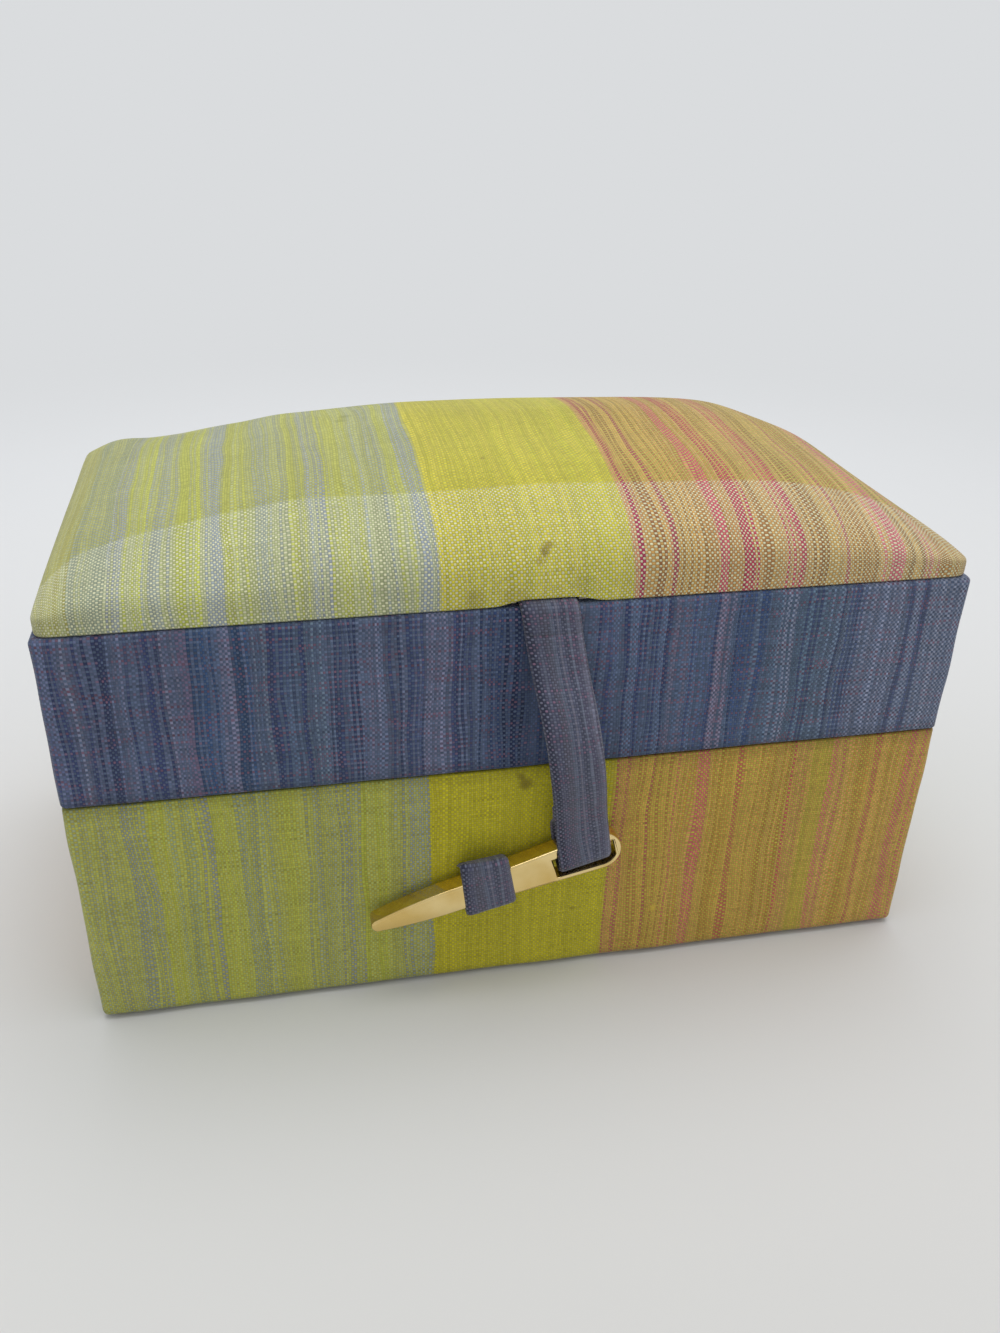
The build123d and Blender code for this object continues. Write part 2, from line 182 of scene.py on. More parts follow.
@dataclass(frozen=True)
class StripedSilk:
    """Hand-woven slubby silk in a plain weave, with warp stripes of many dyed yarns.

    The eye sees wide stripes broken up by single odd threads, small pale dots where a thick yarn
    rides on top, slightly wavering lines, and a dull glow rather than a shine. Real threads lie
    0.38 mm apart, near one pixel and a half, so they are drawn at that pitch and the odd threads
    in groups of two or three.

    The ground is a stripe's usual yarn and the accent its odd one. Shares are of the cloth's
    face, shades and contrasts are parts of a colour, and places, pitches, runs, the waver and
    the bump are in millimetres.
    """

    name: str
    ground: Stripes
    accent: Stripes
    weft: tuple[str, str]
    weft_change: float | None = None
    weft_share: float = 0.5
    accent_share: float = 0.42
    repeat: tuple[float, float] = (-88.0, 88.0)
    warp_pitch: float = 0.38
    weft_pitch: float = 0.42
    waver: float = 0.55
    waver_run: tuple[float, float] = (6.25, 28.5714)
    group: float = 0.6
    stray_yarns: float = 0.36
    streak_run: float = 140.0
    patch_run: float = 4.54545
    slub_run: float = 11.1111
    thread_contrast: float = 0.13
    gap_shade: float = 0.36
    dot_contrast: float = 0.1
    fading_run: float = 22.2222
    folds: tuple[float, ...] = ()
    fold_shade: float = 0.26
    stains: tuple[Stain, ...] = ()
    roughness: float = 0.62
    sheen: float = 0.18
    bump: float = 0.09

    def coordinates(self, tree: Tree) -> tuple[Socket, Socket]:
        """Reads the cloth's millimetres, with threads that waver a little.

        Args:
            tree: the material's node tree.

        Returns:
            Sockets of the place across the warp and along it.
        """
        flat = add(tree, "UVMap", uv_map=CLOTH_MAP)
        across = add(tree, "SeparateXYZ", {0: flat})
        pace = (1 / self.waver_run[0], 1 / self.waver_run[1], 0.0)
        stretched = add(tree, "VectorMath", {0: flat, 1: pace}, operation="MULTIPLY")
        noise = add(tree, "TexNoise", {"Vector": stretched, "Scale": 1.0, "Detail": 2.0})
        reach = {0: noise, 1: 0.3, 2: 0.7, 3: -self.waver, 4: self.waver}
        shift = add(tree, "MapRange", reach, clamp=False)
        wavered = add(tree, "Math", {0: across, 1: shift}, operation="ADD")
        return wavered, across.node.outputs[1]

    def thread(self, tree: Tree, place: Socket, pitch: float) -> tuple[Socket, Socket]:
        """Counts threads across a cloth.

        Args:
            tree: the material's node tree.
            place: millimetres across the threads.
            pitch: millimetres from thread to thread.

        Returns:
            Sockets of the thread's number and of a wave that rises over every other thread.
        """
        count = add(tree, "Math", {0: place, 1: 1 / pitch}, operation="MULTIPLY")
        number = add(tree, "Math", {0: count}, operation="FLOOR")
        turn = add(tree, "Math", {0: count, 1: math.pi}, operation="MULTIPLY")
        return number, add(tree, "Math", {0: turn}, operation="SINE")

    def yarn(self, tree: Tree, place: Socket, stripes: Stripes, soft: bool) -> Socket:
        """Looks up the dyed yarn at a place across the cloth.

        Args:
            tree: the material's node tree.
            place: millimetres across the warp.
            stripes: left edges in millimetres, and colours.
            soft: whether a stripe runs into the next one.

        Returns:
            The colour socket.
        """
        low, high = self.repeat
        share = add(tree, "MapRange", {0: place, 1: low, 2: high, 3: 0.0, 4: 1.0})
        ramp = add(tree, "ValToRGB", {0: share})
        fill_ramp(ramp, [((edge - low) / (high - low), dye) for edge, dye in stripes], soft)
        return ramp

    def streak(self, tree: Tree, number: Socket, across: Socket, run: float) -> Socket:
        """Makes a vector that changes from thread to thread and slowly along each one.

        Args:
            tree: the material's node tree.
            number: the thread's number.
            across: millimetres along the thread.
            run: millimetres over which it changes.

        Returns:
            The vector socket.
        """
        unlike = 3.71  # noise cells from thread to thread, so that neighbours differ
        slow = add(tree, "Math", {0: across, 1: 1 / run}, operation="MULTIPLY")
        row = add(tree, "Math", {0: number, 1: unlike}, operation="MULTIPLY")
        return add(tree, "CombineXYZ", {0: slow, 1: row})

    def warp_colour(self, tree: Tree, number: Socket, along: Socket) -> Socket:
        """Colours each warp thread: its stripe, the odd yarns in it, and its own shade.

        Args:
            tree: the material's node tree.
            number: the warp thread's number.
            along: millimetres along the thread.

        Returns:
            The colour socket.
        """
        low, high = self.repeat
        middle = add(tree, "Math", {0: number, 1: self.warp_pitch}, operation="MULTIPLY")
        place = add(tree, "Math", {0: middle, 1: high, 2: low}, operation="WRAP")
        ground = self.yarn(tree, place, self.ground, soft=True)
        accent = self.yarn(tree, place, self.accent, soft=False)
        steps = add(tree, "Math", {0: middle, 1: 1 / self.group}, operation="MULTIPLY")
        drift = add(tree, "Math", {0: along, 1: 1 / self.streak_run}, operation="MULTIPLY")
        spot = add(tree, "CombineXYZ", {0: steps, 1: drift})
        rough = {"Vector": spot, "Scale": 1.0, "Detail": 4.0, "Roughness": 0.72}
        groups = add(tree, "TexNoise", rough)
        single = add(tree, "TexWhiteNoise", {1: number}, noise_dimensions="1D")
        terms = {0: single, 1: self.stray_yarns, 2: groups}
        stray = add(tree, "Math", terms, operation="MULTIPLY_ADD")
        # the noise keeps near its middle, so a share moves the edge by less than itself
        edge = 0.5 + self.stray_yarns / 2 + (0.5 - self.accent_share) * 0.4
        chosen = add(tree, "MapRange", {0: stray, 1: edge - 0.04, 2: edge + 0.04})
        mixed = add(tree, "Mix", {0: chosen, 6: ground, 7: accent}, **COLOURS)
        own = add(tree, "Math", {0: number, 1: 0.5}, operation="ADD")
        single = add(tree, "TexWhiteNoise", {1: own}, noise_dimensions="1D")
        least, most = 1 - self.thread_contrast, 1 + self.thread_contrast
        shade = add(tree, "MapRange", {0: single, 3: least, 4: most})
        return add(tree, "VectorMath", {0: mixed, 3: shade}, operation="SCALE")

    def weft_colour(self, tree: Tree, number: Socket, across: Socket, along: Socket) -> Socket:
        """Colours each weft thread, with slubs.

        The second yarn comes in patches, or takes over at the line where the weaver changed
        yarn. That line is drawn in toward the front at the cushion's left end.

        Args:
            tree: the material's node tree.
            number: the weft thread's number.
            across: millimetres across the warp, which is along this thread.
            along: millimetres along the warp.

        Returns:
            The colour socket.
        """
        if self.weft_change is None:
            run = self.streak(tree, number, across, self.patch_run)
            patch = add(tree, "TexNoise", {"Vector": run, "Scale": 1.0, "Detail": 1.0})
            second = add(tree, "MapRange", {0: patch, 1: 0.52, 2: 0.64})
        else:
            dip = add(tree, "MapRange", {0: across, 1: -71.0, 2: -58.0, 3: 5.0, 4: 0.0})
            level = add(tree, "Math", {0: along, 1: dip}, operation="ADD")
            before, past = self.weft_change - 0.3, self.weft_change + 0.3
            second = add(tree, "MapRange", {0: level, 1: before, 2: past})
        yarns = [linear(colour) for colour in self.weft]
        base = add(tree, "Mix", {0: second, 6: yarns[0], 7: yarns[1]}, **COLOURS)
        run = self.streak(tree, number, across, self.slub_run)
        slub = add(tree, "TexNoise", {"Vector": run, "Scale": 1.0, "Detail": 1.0})
        least, most = 1 - self.thread_contrast, 1 + self.thread_contrast
        shade = add(tree, "MapRange", {0: slub, 1: 0.3, 2: 0.7, 3: least, 4: most})
        return add(tree, "VectorMath", {0: base, 3: shade}, operation="SCALE")

    def handling_and_fold_shade(self, tree: Tree, colour: Socket, across: Socket, along: Socket) -> Socket:
        """Adds handling (uneven fading and stains) and painted shade: darker cloth along the folds.

        Args:
            tree: the material's node tree.
            colour: the clean colour.
            across: millimetres across the warp.
            along: millimetres along it.

        Returns:
            The colour socket.
        """
        spot = add(tree, "CombineXYZ", {0: across, 1: along})
        cloud = add(tree, "TexNoise", {"Vector": spot, "Scale": 1 / self.fading_run, "Detail": 3.0})
        fade = add(tree, "MapRange", {0: cloud, 1: 0.3, 2: 0.7, 3: 0.93, 4: 1.06})
        colour = add(tree, "VectorMath", {0: colour, 3: fade}, operation="SCALE")
        # painted shade: darker cloth along each fold, where the seam and the bottom edge lie in
        # shade
        for place in self.folds:
            gap = add(tree, "Math", {0: along, 1: place}, operation="SUBTRACT")
            gap = add(tree, "Math", {0: gap}, operation="ABSOLUTE")
            reach = {0: gap, 1: 0.2, 2: 2.4, 3: 1 - self.fold_shade, 4: 1.0}
            near = add(tree, "MapRange", reach)
            colour = add(tree, "VectorMath", {0: colour, 3: near}, operation="SCALE")
        for stain in self.stains:
            middle = (stain.across, stain.along, 0.0)
            gap = add(tree, "VectorMath", {0: spot, 1: middle}, out=1, operation="DISTANCE")
            reach = {0: gap, 1: stain.radius / 4, 2: stain.radius, 3: stain.strength, 4: 0.0}
            near = add(tree, "MapRange", reach, interpolation_type="SMOOTHSTEP")
            colour = add(tree, "Mix", {0: near, 6: colour, 7: linear(stain.colour)}, **COLOURS)
        return colour

    def material(self) -> Material:
        """Builds the woven material.

        Returns:
            The material, with its warp above its weft at every other crossing.
        """
        made, tree = new_material(self.name)
        across, along = self.coordinates(tree)
        warp_number, warp_wave = self.thread(tree, across, self.warp_pitch)
        weft_number, weft_wave = self.thread(tree, along, self.weft_pitch)
        crossing = add(tree, "Math", {0: warp_wave, 1: weft_wave}, operation="MULTIPLY")
        # the wave spends more time near its ends, so a share moves the edge by more than itself
        lean, soft = 1.3 * (self.weft_share - 0.5), 0.14
        on_top = add(tree, "MapRange", {0: crossing, 1: lean - soft, 2: lean + soft})
        warp = self.warp_colour(tree, warp_number, along)
        weft = self.weft_colour(tree, weft_number, across, along)
        woven = add(tree, "Mix", {0: on_top, 6: weft, 7: warp}, **COLOURS)
        height = add(tree, "Math", {0: crossing}, operation="ABSOLUTE")
        height = add(tree, "Math", {0: height, 1: 0.6}, operation="POWER")
        shade = add(tree, "MapRange", {0: height, 3: 1 - self.gap_shade, 4: 1.0})
        woven = add(tree, "VectorMath", {0: woven, 3: shade}, operation="SCALE")
        cell = add(tree, "CombineXYZ", {0: warp_number, 1: weft_number})
        lucky = add(tree, "TexWhiteNoise", {0: cell}, noise_dimensions="2D")
        least, most = 1 - self.dot_contrast, 1 + self.dot_contrast
        dot = add(tree, "MapRange", {0: lucky, 3: least, 4: most})
        woven = add(tree, "VectorMath", {0: woven, 3: dot}, operation="SCALE")
        relief = {"Strength": 0.6, "Distance": self.bump * MM, "Height": height}
        look = {
            "Base Color": self.handling_and_fold_shade(tree, woven, across, along),
            "Roughness": self.roughness,
            "IOR": 1.5,
            "Specular IOR Level": 0.25,
            "Sheen Weight": self.sheen,
            "Sheen Roughness": 0.45,
            "Normal": add(tree, "Bump", relief),
        }
        add(tree, "OutputMaterial", {0: add(tree, "BsdfPrincipled", look)})
        return made


class Lie(Enum):
    """Which way a plain cloth lies, which says what its two thread directions follow."""

    UPRIGHT = "walls"
    FLAT = "floors"


@dataclass(frozen=True)
class PlainCloth:
    """Fine plain-woven cloth glued over card: even in colour, with a faint grid of threads.

    Its threads lie 0.25 mm apart. That is too fine to show, so they are drawn 0.5 mm apart.
    """

    name: str
    colour: str
    lie: Lie
    pitch: float = 0.5
    cloud_size: float = 11.1111
    roughness: float = 0.6
    sheen: float = 0.15

    def material(self) -> Material:
        """Builds the plain woven material.

        Returns:
            The material.
        """
        made, tree = new_material(self.name)
        place = add(tree, "TexCoord", out="Object")
        x, y, z = add(tree, "SeparateXYZ", {0: place}).node.outputs
        if self.lie is Lie.UPRIGHT:
            across, along = add(tree, "Math", {0: x, 1: y}, operation="ADD"), z
        else:
            across, along = x, y
        waves = []
        for way in (across, along):
            pace = math.pi / (self.pitch * MM)
            turn = add(tree, "Math", {0: way, 1: pace}, operation="MULTIPLY")
            waves.append(add(tree, "Math", {0: turn}, operation="SINE"))
        crossing = add(tree, "Math", {0: waves[0], 1: waves[1]}, operation="MULTIPLY")
        height = add(tree, "Math", {0: crossing}, operation="ABSOLUTE")
        shade = add(tree, "MapRange", {0: height, 3: 0.78, 4: 1.0})
        scale = 1 / (self.cloud_size * MM)
        cloud = add(tree, "TexNoise", {"Vector": place, "Scale": scale, "Detail": 5.0})
        fade = add(tree, "MapRange", {0: cloud, 1: 0.3, 2: 0.7, 3: 0.9, 4: 1.08})
        both = add(tree, "Math", {0: shade, 1: fade}, operation="MULTIPLY")
        dyed = add(tree, "VectorMath", {0: linear(self.colour)[:3], 3: both}, operation="SCALE")
        relief = {"Strength": 0.5, "Distance": 0.06 * MM, "Height": crossing}
        look = {
            "Base Color": dyed,
            "Roughness": self.roughness,
            "IOR": 1.5,
            "Specular IOR Level": 0.3,
            "Sheen Weight": self.sheen,
            "Sheen Roughness": 0.5,
            "Normal": add(tree, "Bump", relief),
        }
        add(tree, "OutputMaterial", {0: add(tree, "BsdfPrincipled", look)})
        return made


@dataclass(frozen=True)
class BinderBoard:
    """Grey bookbinder's board, pressed from waste paper: matt, with short fibres and specks."""

    name: str = "bookbinders_board"
    pale: str = "#A79E8E"
    dark: str = "#867D6E"
    fibre_size: float = 1.11111
    blotch_size: float = 16.6667

    def material(self) -> Material:
        """Builds the card material.

        Returns:
            The material.
        """
        made, tree = new_material(self.name)
        place = add(tree, "TexCoord", out="Object")
        fibre, blotch = (
            add(tree, "TexNoise", {"Vector": place, "Scale": 1 / (size * MM), "Detail": detail})
            for size, detail in ((self.fibre_size, 6.0), (self.blotch_size, 3.0))
        )
        both = add(tree, "Math", {0: fibre, 1: blotch}, operation="MULTIPLY")
        share = add(tree, "MapRange", {0: both, 1: 0.15, 2: 0.36})
        shades = {0: share, 6: linear(self.dark), 7: linear(self.pale)}
        relief = {"Strength": 0.4, "Distance": 0.1 * MM, "Height": fibre}
        look = {
            "Base Color": add(tree, "Mix", shades, **COLOURS),
            "Roughness": 0.88,
            "IOR": 1.5,
            "Specular IOR Level": 0.25,
            "Normal": add(tree, "Bump", relief),
        }
        add(tree, "OutputMaterial", {0: add(tree, "BsdfPrincipled", look)})
        return made


@dataclass(frozen=True)
class PolishedGilt:
    """Brass bar, polished and gilt: a mirror with a faint brushed drag and softened edges."""

    name: str = "polished_gilt_brass"
    colour: str = "#F3DA9C"
    worn: str = "#E3C37A"
    drag_size: Span = (16.6667, 1.11111, 1.11111)
    cloud_size: float = 7.14286

    def material(self) -> Material:
        """Builds the gilt material.

        Returns:
            The material.
        """
        made, tree = new_material(self.name)
        place = add(tree, "TexCoord", out="Object")
        pace = tuple(1 / (size * MM) for size in self.drag_size)
        drag = add(tree, "VectorMath", {0: place, 1: pace}, operation="MULTIPLY")
        brushed = add(tree, "TexNoise", {"Vector": drag, "Scale": 1.0, "Detail": 3.0})
        scale = 1 / (self.cloud_size * MM)
        cloud = add(tree, "TexNoise", {"Vector": place, "Scale": scale, "Detail": 3.0})
        share = add(tree, "MapRange", {0: cloud, 1: 0.4, 2: 0.7})
        shades = {0: share, 6: linear(self.colour), 7: linear(self.worn)}
        relief = {"Strength": 0.25, "Distance": 0.02 * MM, "Height": brushed}
        look = {
            "Base Color": add(tree, "Mix", shades, **COLOURS),
            "Metallic": 1.0,
            "Roughness": add(tree, "MapRange", {0: cloud, 1: 0.35, 2: 0.75, 3: 0.1, 4: 0.2}),
            "Normal": add(tree, "Bump", relief),
        }
        add(tree, "OutputMaterial", {0: add(tree, "BsdfPrincipled", look)})
        return made


@dataclass(frozen=True)
class MattPaper:
    """Seamless background paper: pale, matt, without a pattern, and painted darker in front than
    behind as light falloff.

    Far from the box it fades to an even haze. Its depths and its fading are in metres, and its
    grain in millimetres.
    """

    name: str = "seamless_background_paper"
    near: str = "#D7D6D3"
    far: str = "#E6E7E8"
    haze: str = "#DADCDE"
    near_to_far: tuple[float, float] = (-0.12, 0.25)
    fading: tuple[float, float] = (0.14, 0.42)
    grain_size: float = 1.42857

    def material(self) -> Material:
        """Builds the paper of the floor and backdrop.

        Returns:
            The material.
        """
        made, tree = new_material(self.name)
        place = add(tree, "TexCoord", out="Object")
        depth = add(tree, "SeparateXYZ", {0: place}, out=1)
        near, far = self.near_to_far
        # painted light falloff: darker near the front, paler further back
        share = add(tree, "MapRange", {0: depth, 1: near, 2: far})
        shades = {0: share, 6: linear(self.near), 7: linear(self.far)}
        scale = 1 / (self.grain_size * MM)
        grain = add(tree, "TexNoise", {"Vector": place, "Scale": scale, "Detail": 3.0})
        relief = {"Strength": 0.05, "Distance": 0.1 * MM, "Height": grain}
        path = add(tree, "LightPath").node.outputs
        seen = path["Is Camera Ray"]
        for kind in ("Is Glossy Ray", "Is Transmission Ray"):
            seen = add(tree, "Math", {0: seen, 1: path[kind]}, operation="MAXIMUM")
        distance = add(tree, "VectorMath", {0: place}, out=1, operation="LENGTH")
        reach = {0: distance, 1: self.fading[0], 2: self.fading[1]}
        away = add(tree, "MapRange", reach, interpolation_type="SMOOTHSTEP")
        even = add(tree, "Math", {0: seen, 1: away}, operation="MULTIPLY")
        look = {
            "Base Color": add(tree, "Mix", shades, **COLOURS),
            "Roughness": 0.9,
            "IOR": 1.45,
            "Specular IOR Level": 0.1,
            "Normal": add(tree, "Bump", relief),
        }
        shader = add(tree, "BsdfPrincipled", look)
        glow = add(tree, "Emission", {0: linear(self.haze), 1: 1.0})
        add(tree, "OutputMaterial", {0: add(tree, "MixShader", {0: even, 1: shader, 2: glow})})
        return made


# Lines and surfaces


def ripple(
    across: np.ndarray, along: np.ndarray, length: float, height: float, seed: int
) -> np.ndarray:
    """Soft unevenness of a cloth, as a few seeded waves.

    Args:
        across: millimetres across the cloth.
        along: millimetres along it.
        length: a typical length of the waves, in millimetres.
        height: their height, in millimetres.
        seed: which waves to draw.

    Returns:
        The height at every place.
    """
    draw = np.random.default_rng(seed)
    total = np.zeros(np.broadcast(across, along).shape)
    waves = 8
    for _ in range(waves):
        angle, phase = draw.uniform(0, math.pi), draw.uniform(0, TURN)
        pace = TURN / (length * draw.uniform(0.6, 1.8))
        way = across * math.cos(angle) + along * math.sin(angle)
        total = total + np.sin(pace * way + phase)
    return height * total / math.sqrt(waves)


def hump(value: np.ndarray | float, middle: float, half: float, slope: float) -> np.ndarray:
    """A smooth hump: 1 within half of the middle, and down to 0 over the slope."""
    away = np.clip((np.abs(value - middle) - half) / slope, 0, 1)
    return 0.5 + 0.5 * np.cos(math.pi * away)


def on_circle(angles: np.ndarray) -> np.ndarray:
    """Points on the unit circle, at angles in radians."""
    return np.stack([np.cos(angles), np.sin(angles)], -1)


def rotated(arm: np.ndarray, angles: np.ndarray | float) -> np.ndarray:
    """A vector in the plane, turned by one angle or by each of several."""
    cos, sin = np.cos(angles), np.sin(angles)
    return np.stack([arm[0] * cos - arm[1] * sin, arm[0] * sin + arm[1] * cos], -1)


def between(first: np.ndarray, last: np.ndarray, parts: int) -> np.ndarray:
    """Points that divide a straight run into equal parts, without its ends."""
    return first + np.linspace(0, 1, parts + 1)[1:-1, None] * (last - first)


def lengths(points: np.ndarray) -> np.ndarray:
    """Length along a line of points, up to each of them."""
    return np.concatenate([[0.0], np.cumsum(np.linalg.norm(np.diff(points, axis=0), axis=1))])


def evenly(points: np.ndarray, count: int) -> np.ndarray:
    """Reads a line of points again at even steps along it, its ends as they were.

    Args:
        points: the line's points.
        count: how many points to give back.

    Returns:
        The new points.
    """
    run = lengths(points)
    places = np.linspace(0, run[-1], count)
    return np.stack([np.interp(places, run, points[:, i]) for i in range(points.shape[1])], -1)


def tangent_arc(
    start: np.ndarray, heading: np.ndarray, end: np.ndarray, steps: int
) -> tuple[np.ndarray, np.ndarray]:
    """An arc that leaves a point along a heading and ends at another point.

    Args:
        start: where it starts.
        heading: the unit vector along which it leaves.
        end: where it ends.
        steps: how many points to give back, without the start.

    Returns:
        The points, and the heading at the end.
    """
    chord = end - start
    aside = heading[0] * chord[1] - heading[1] * chord[0]
    turn = 2 * math.atan2(aside, heading @ chord)
    shares = np.linspace(0, 1, steps + 1)[1:]
    if abs(turn) < 1e-6:
        return start + shares[:, None] * chord, heading
    centre = start + (chord @ chord) / (2 * aside) * np.array([-heading[1], heading[0]])
    return centre + rotated(start - centre, turn * shares), rotated(heading, turn)


def grid_faces(rows: int, columns: int, wraps: bool = False) -> list[tuple[int, ...]]:
    """Faces of a grid of points, in rows.

    Args:
        rows: how many rows.
        columns: how many points a row has.
        wraps: whether the last column joins the first.

    Returns:
        The faces by point number.
    """
    last = columns if wraps else columns - 1
    return [
        (
            row * columns + column,
            row * columns + (column + 1) % columns,
            (row + 1) * columns + (column + 1) % columns,
            (row + 1) * columns + column,
        )
        for row in range(rows - 1)
        for column in range(last)
    ]


def grid_border(rows: int, columns: int) -> list[tuple[int, int]]:
    """Lists the points of a grid's border, once round.

    Args:
        rows: how many rows the grid has.
        columns: how many points a row has.

    Returns:
        The row and column of each point.
    """
    return (
        [(0, column) for column in range(columns - 1)]
        + [(row, columns - 1) for row in range(rows - 1)]
        + [(rows - 1, column) for column in range(columns - 1, 0, -1)]
        + [(row, 0) for row in range(rows - 1, 0, -1)]
    )


def grid_cloth(across: np.ndarray, along: np.ndarray) -> list[tuple[float, float]]:
    """Cloth coordinates of every corner of the faces that grid_faces makes.

    Args:
        across: one value for each side of a column of faces.
        along: one for each side of a row.

    Returns:
        The coordinates, in the faces' order.
    """
    return [
        place
        for row in range(len(along) - 1)
        for column in range(len(across) - 1)
        for place in (
            (across[column], along[row]),
            (across[column + 1], along[row]),
            (across[column + 1], along[row + 1]),
            (across[column], along[row + 1]),
        )
    ]


# Pieces


def link(name: str, data: bpy.types.ID) -> Piece:
    """Makes an object and links it to the scene.

    Args:
        name: the object's name.
        data: its mesh, curve, lamp or camera.

    Returns:
        The object.
    """
    made = bpy.data.objects.new(name, data)
    bpy.context.scene.collection.objects.link(made)
    return made


def make_mesh(
    name: str, points: np.ndarray, faces: list[tuple[int, ...]], cloth: list[tuple] | None = None
) -> Piece:
    """Makes one mesh object, smooth shaded, with the cloth's coordinates.

    Args:
        name: the piece's name.
        points: its points in millimetres.
        faces: its faces by point number.
        cloth: the cloth's coordinates for every corner of every face, in order, or none.

    Returns:
        The object, linked to the scene.
    """
    mesh = bpy.data.meshes.new(name)
    mesh.from_pydata([tuple(p) for p in points * MM], [], faces)
    if cloth is not None:
        layer = mesh.uv_layers.new(name=CLOTH_MAP)
        layer.data.foreach_set("uv", np.array(cloth, np.float32).ravel())
    mesh.update()
    mesh.validate()
    mesh.shade_smooth()
    return link(name, mesh)


def face_outward(mesh: bpy.types.Mesh, merge: float = 0.0) -> None:
    """Turns the faces of a closed mesh outward.

    Args:
        mesh: the mesh.
        merge: points that are nearer than this, in metres, become one first.
    """
    work = bmesh.new()
    work.from_mesh(mesh)
    if merge:
        bmesh.ops.remove_doubles(work, verts=work.verts, dist=merge)
    bmesh.ops.recalc_face_normals(work, faces=work.faces)
    work.to_mesh(mesh)
    work.free()


def settle(piece: Piece, kind: str, **settings: object) -> None:
    """Adds a modifier to a piece and applies it to its mesh.

    Args:
        piece: the piece.
        kind: the modifier's type.
        settings: its settings.
    """
    modifier = piece.modifiers.new(kind, kind)
    for key, value in settings.items():
        setattr(modifier, key, value)
    graph = bpy.context.evaluated_depsgraph_get()
    piece.data = bpy.data.meshes.new_from_object(piece.evaluated_get(graph))
    piece.modifiers.clear()


def ribbon(
    name: str, middle: np.ndarray, thickness: float, across: np.ndarray, along: np.ndarray
) -> Piece:
    """A flat band of cloth with rounded long edges.

    Args:
        name: the piece's name.
        middle: points of its middle surface, by place along the band and across it.
        thickness: its thickness in millimetres.
        across: cloth coordinate of every column.
        along: cloth coordinate of every row.

    Returns:
        The closed piece.
    """
    rows, columns = middle.shape[:2]
    normal = np.cross(np.gradient(middle, axis=1), np.gradient(middle, axis=0))
    normal /= np.linalg.norm(normal, axis=2, keepdims=True)
    share = np.linspace(-1, 1, columns)
    half = thickness / 2 * np.sqrt(np.clip(1 - np.abs(share) ** 12, 0, 1))[None, :, None]
    back = (middle - normal * half)[:, -2:0:-1]
    rings = np.concatenate([middle + normal * half, back], axis=1)
    count = rings.shape[1]
    round_across = np.concatenate([across, across[-2:0:-1], across[:1]])
    faces = grid_faces(rows, count, wraps=True)
    cloth = grid_cloth(round_across, along)
    for row, order in ((0, range(count - 1, -1, -1)), (rows - 1, range(count))):
        faces.append(tuple(row * count + column for column in order))
        cloth += [(round_across[column], along[row]) for column in order]
    piece = make_mesh(name, rings.reshape(-1, 3), faces, cloth)
    face_outward(piece.data)
    return piece


def finish_piece(
    piece: Piece, material: Material, body: str | None, nodes: tuple[str, ...]
) -> None:
    """Dresses a piece, puts it on its body, and hides what it stands for.

    Args:
        piece: the piece, in place.
        material: its material.
        body: the CAD body that it rides on, or none if it spans two and rides on neither.
        nodes: the CAD nodes that it stands for.
    """
    piece.data.materials.clear()
    piece.data.materials.append(material)
    if body:
        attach(piece, body)
    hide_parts(*nodes)
    LOG.info("%s: %d faces on %s", piece.name, len(piece.data.polygons), body or "two bodies")


# The covers


@dataclass
class BoxSizes:
    """Sizes that the sub-assemblies share."""

    half_width: float = 70.0
    half_depth: float = 35.5
    seam: float = 42.3
    seam_half_gap: float = 0.15
    lid_top: float = 70.0
    cloth: float = 0.5
    board: float = 2.4
    wrapped_corner: float = 1.2
    rim_fold: float = 0.4
    lid_fold: float = 0.8
    cover_bottom: float = 0.5


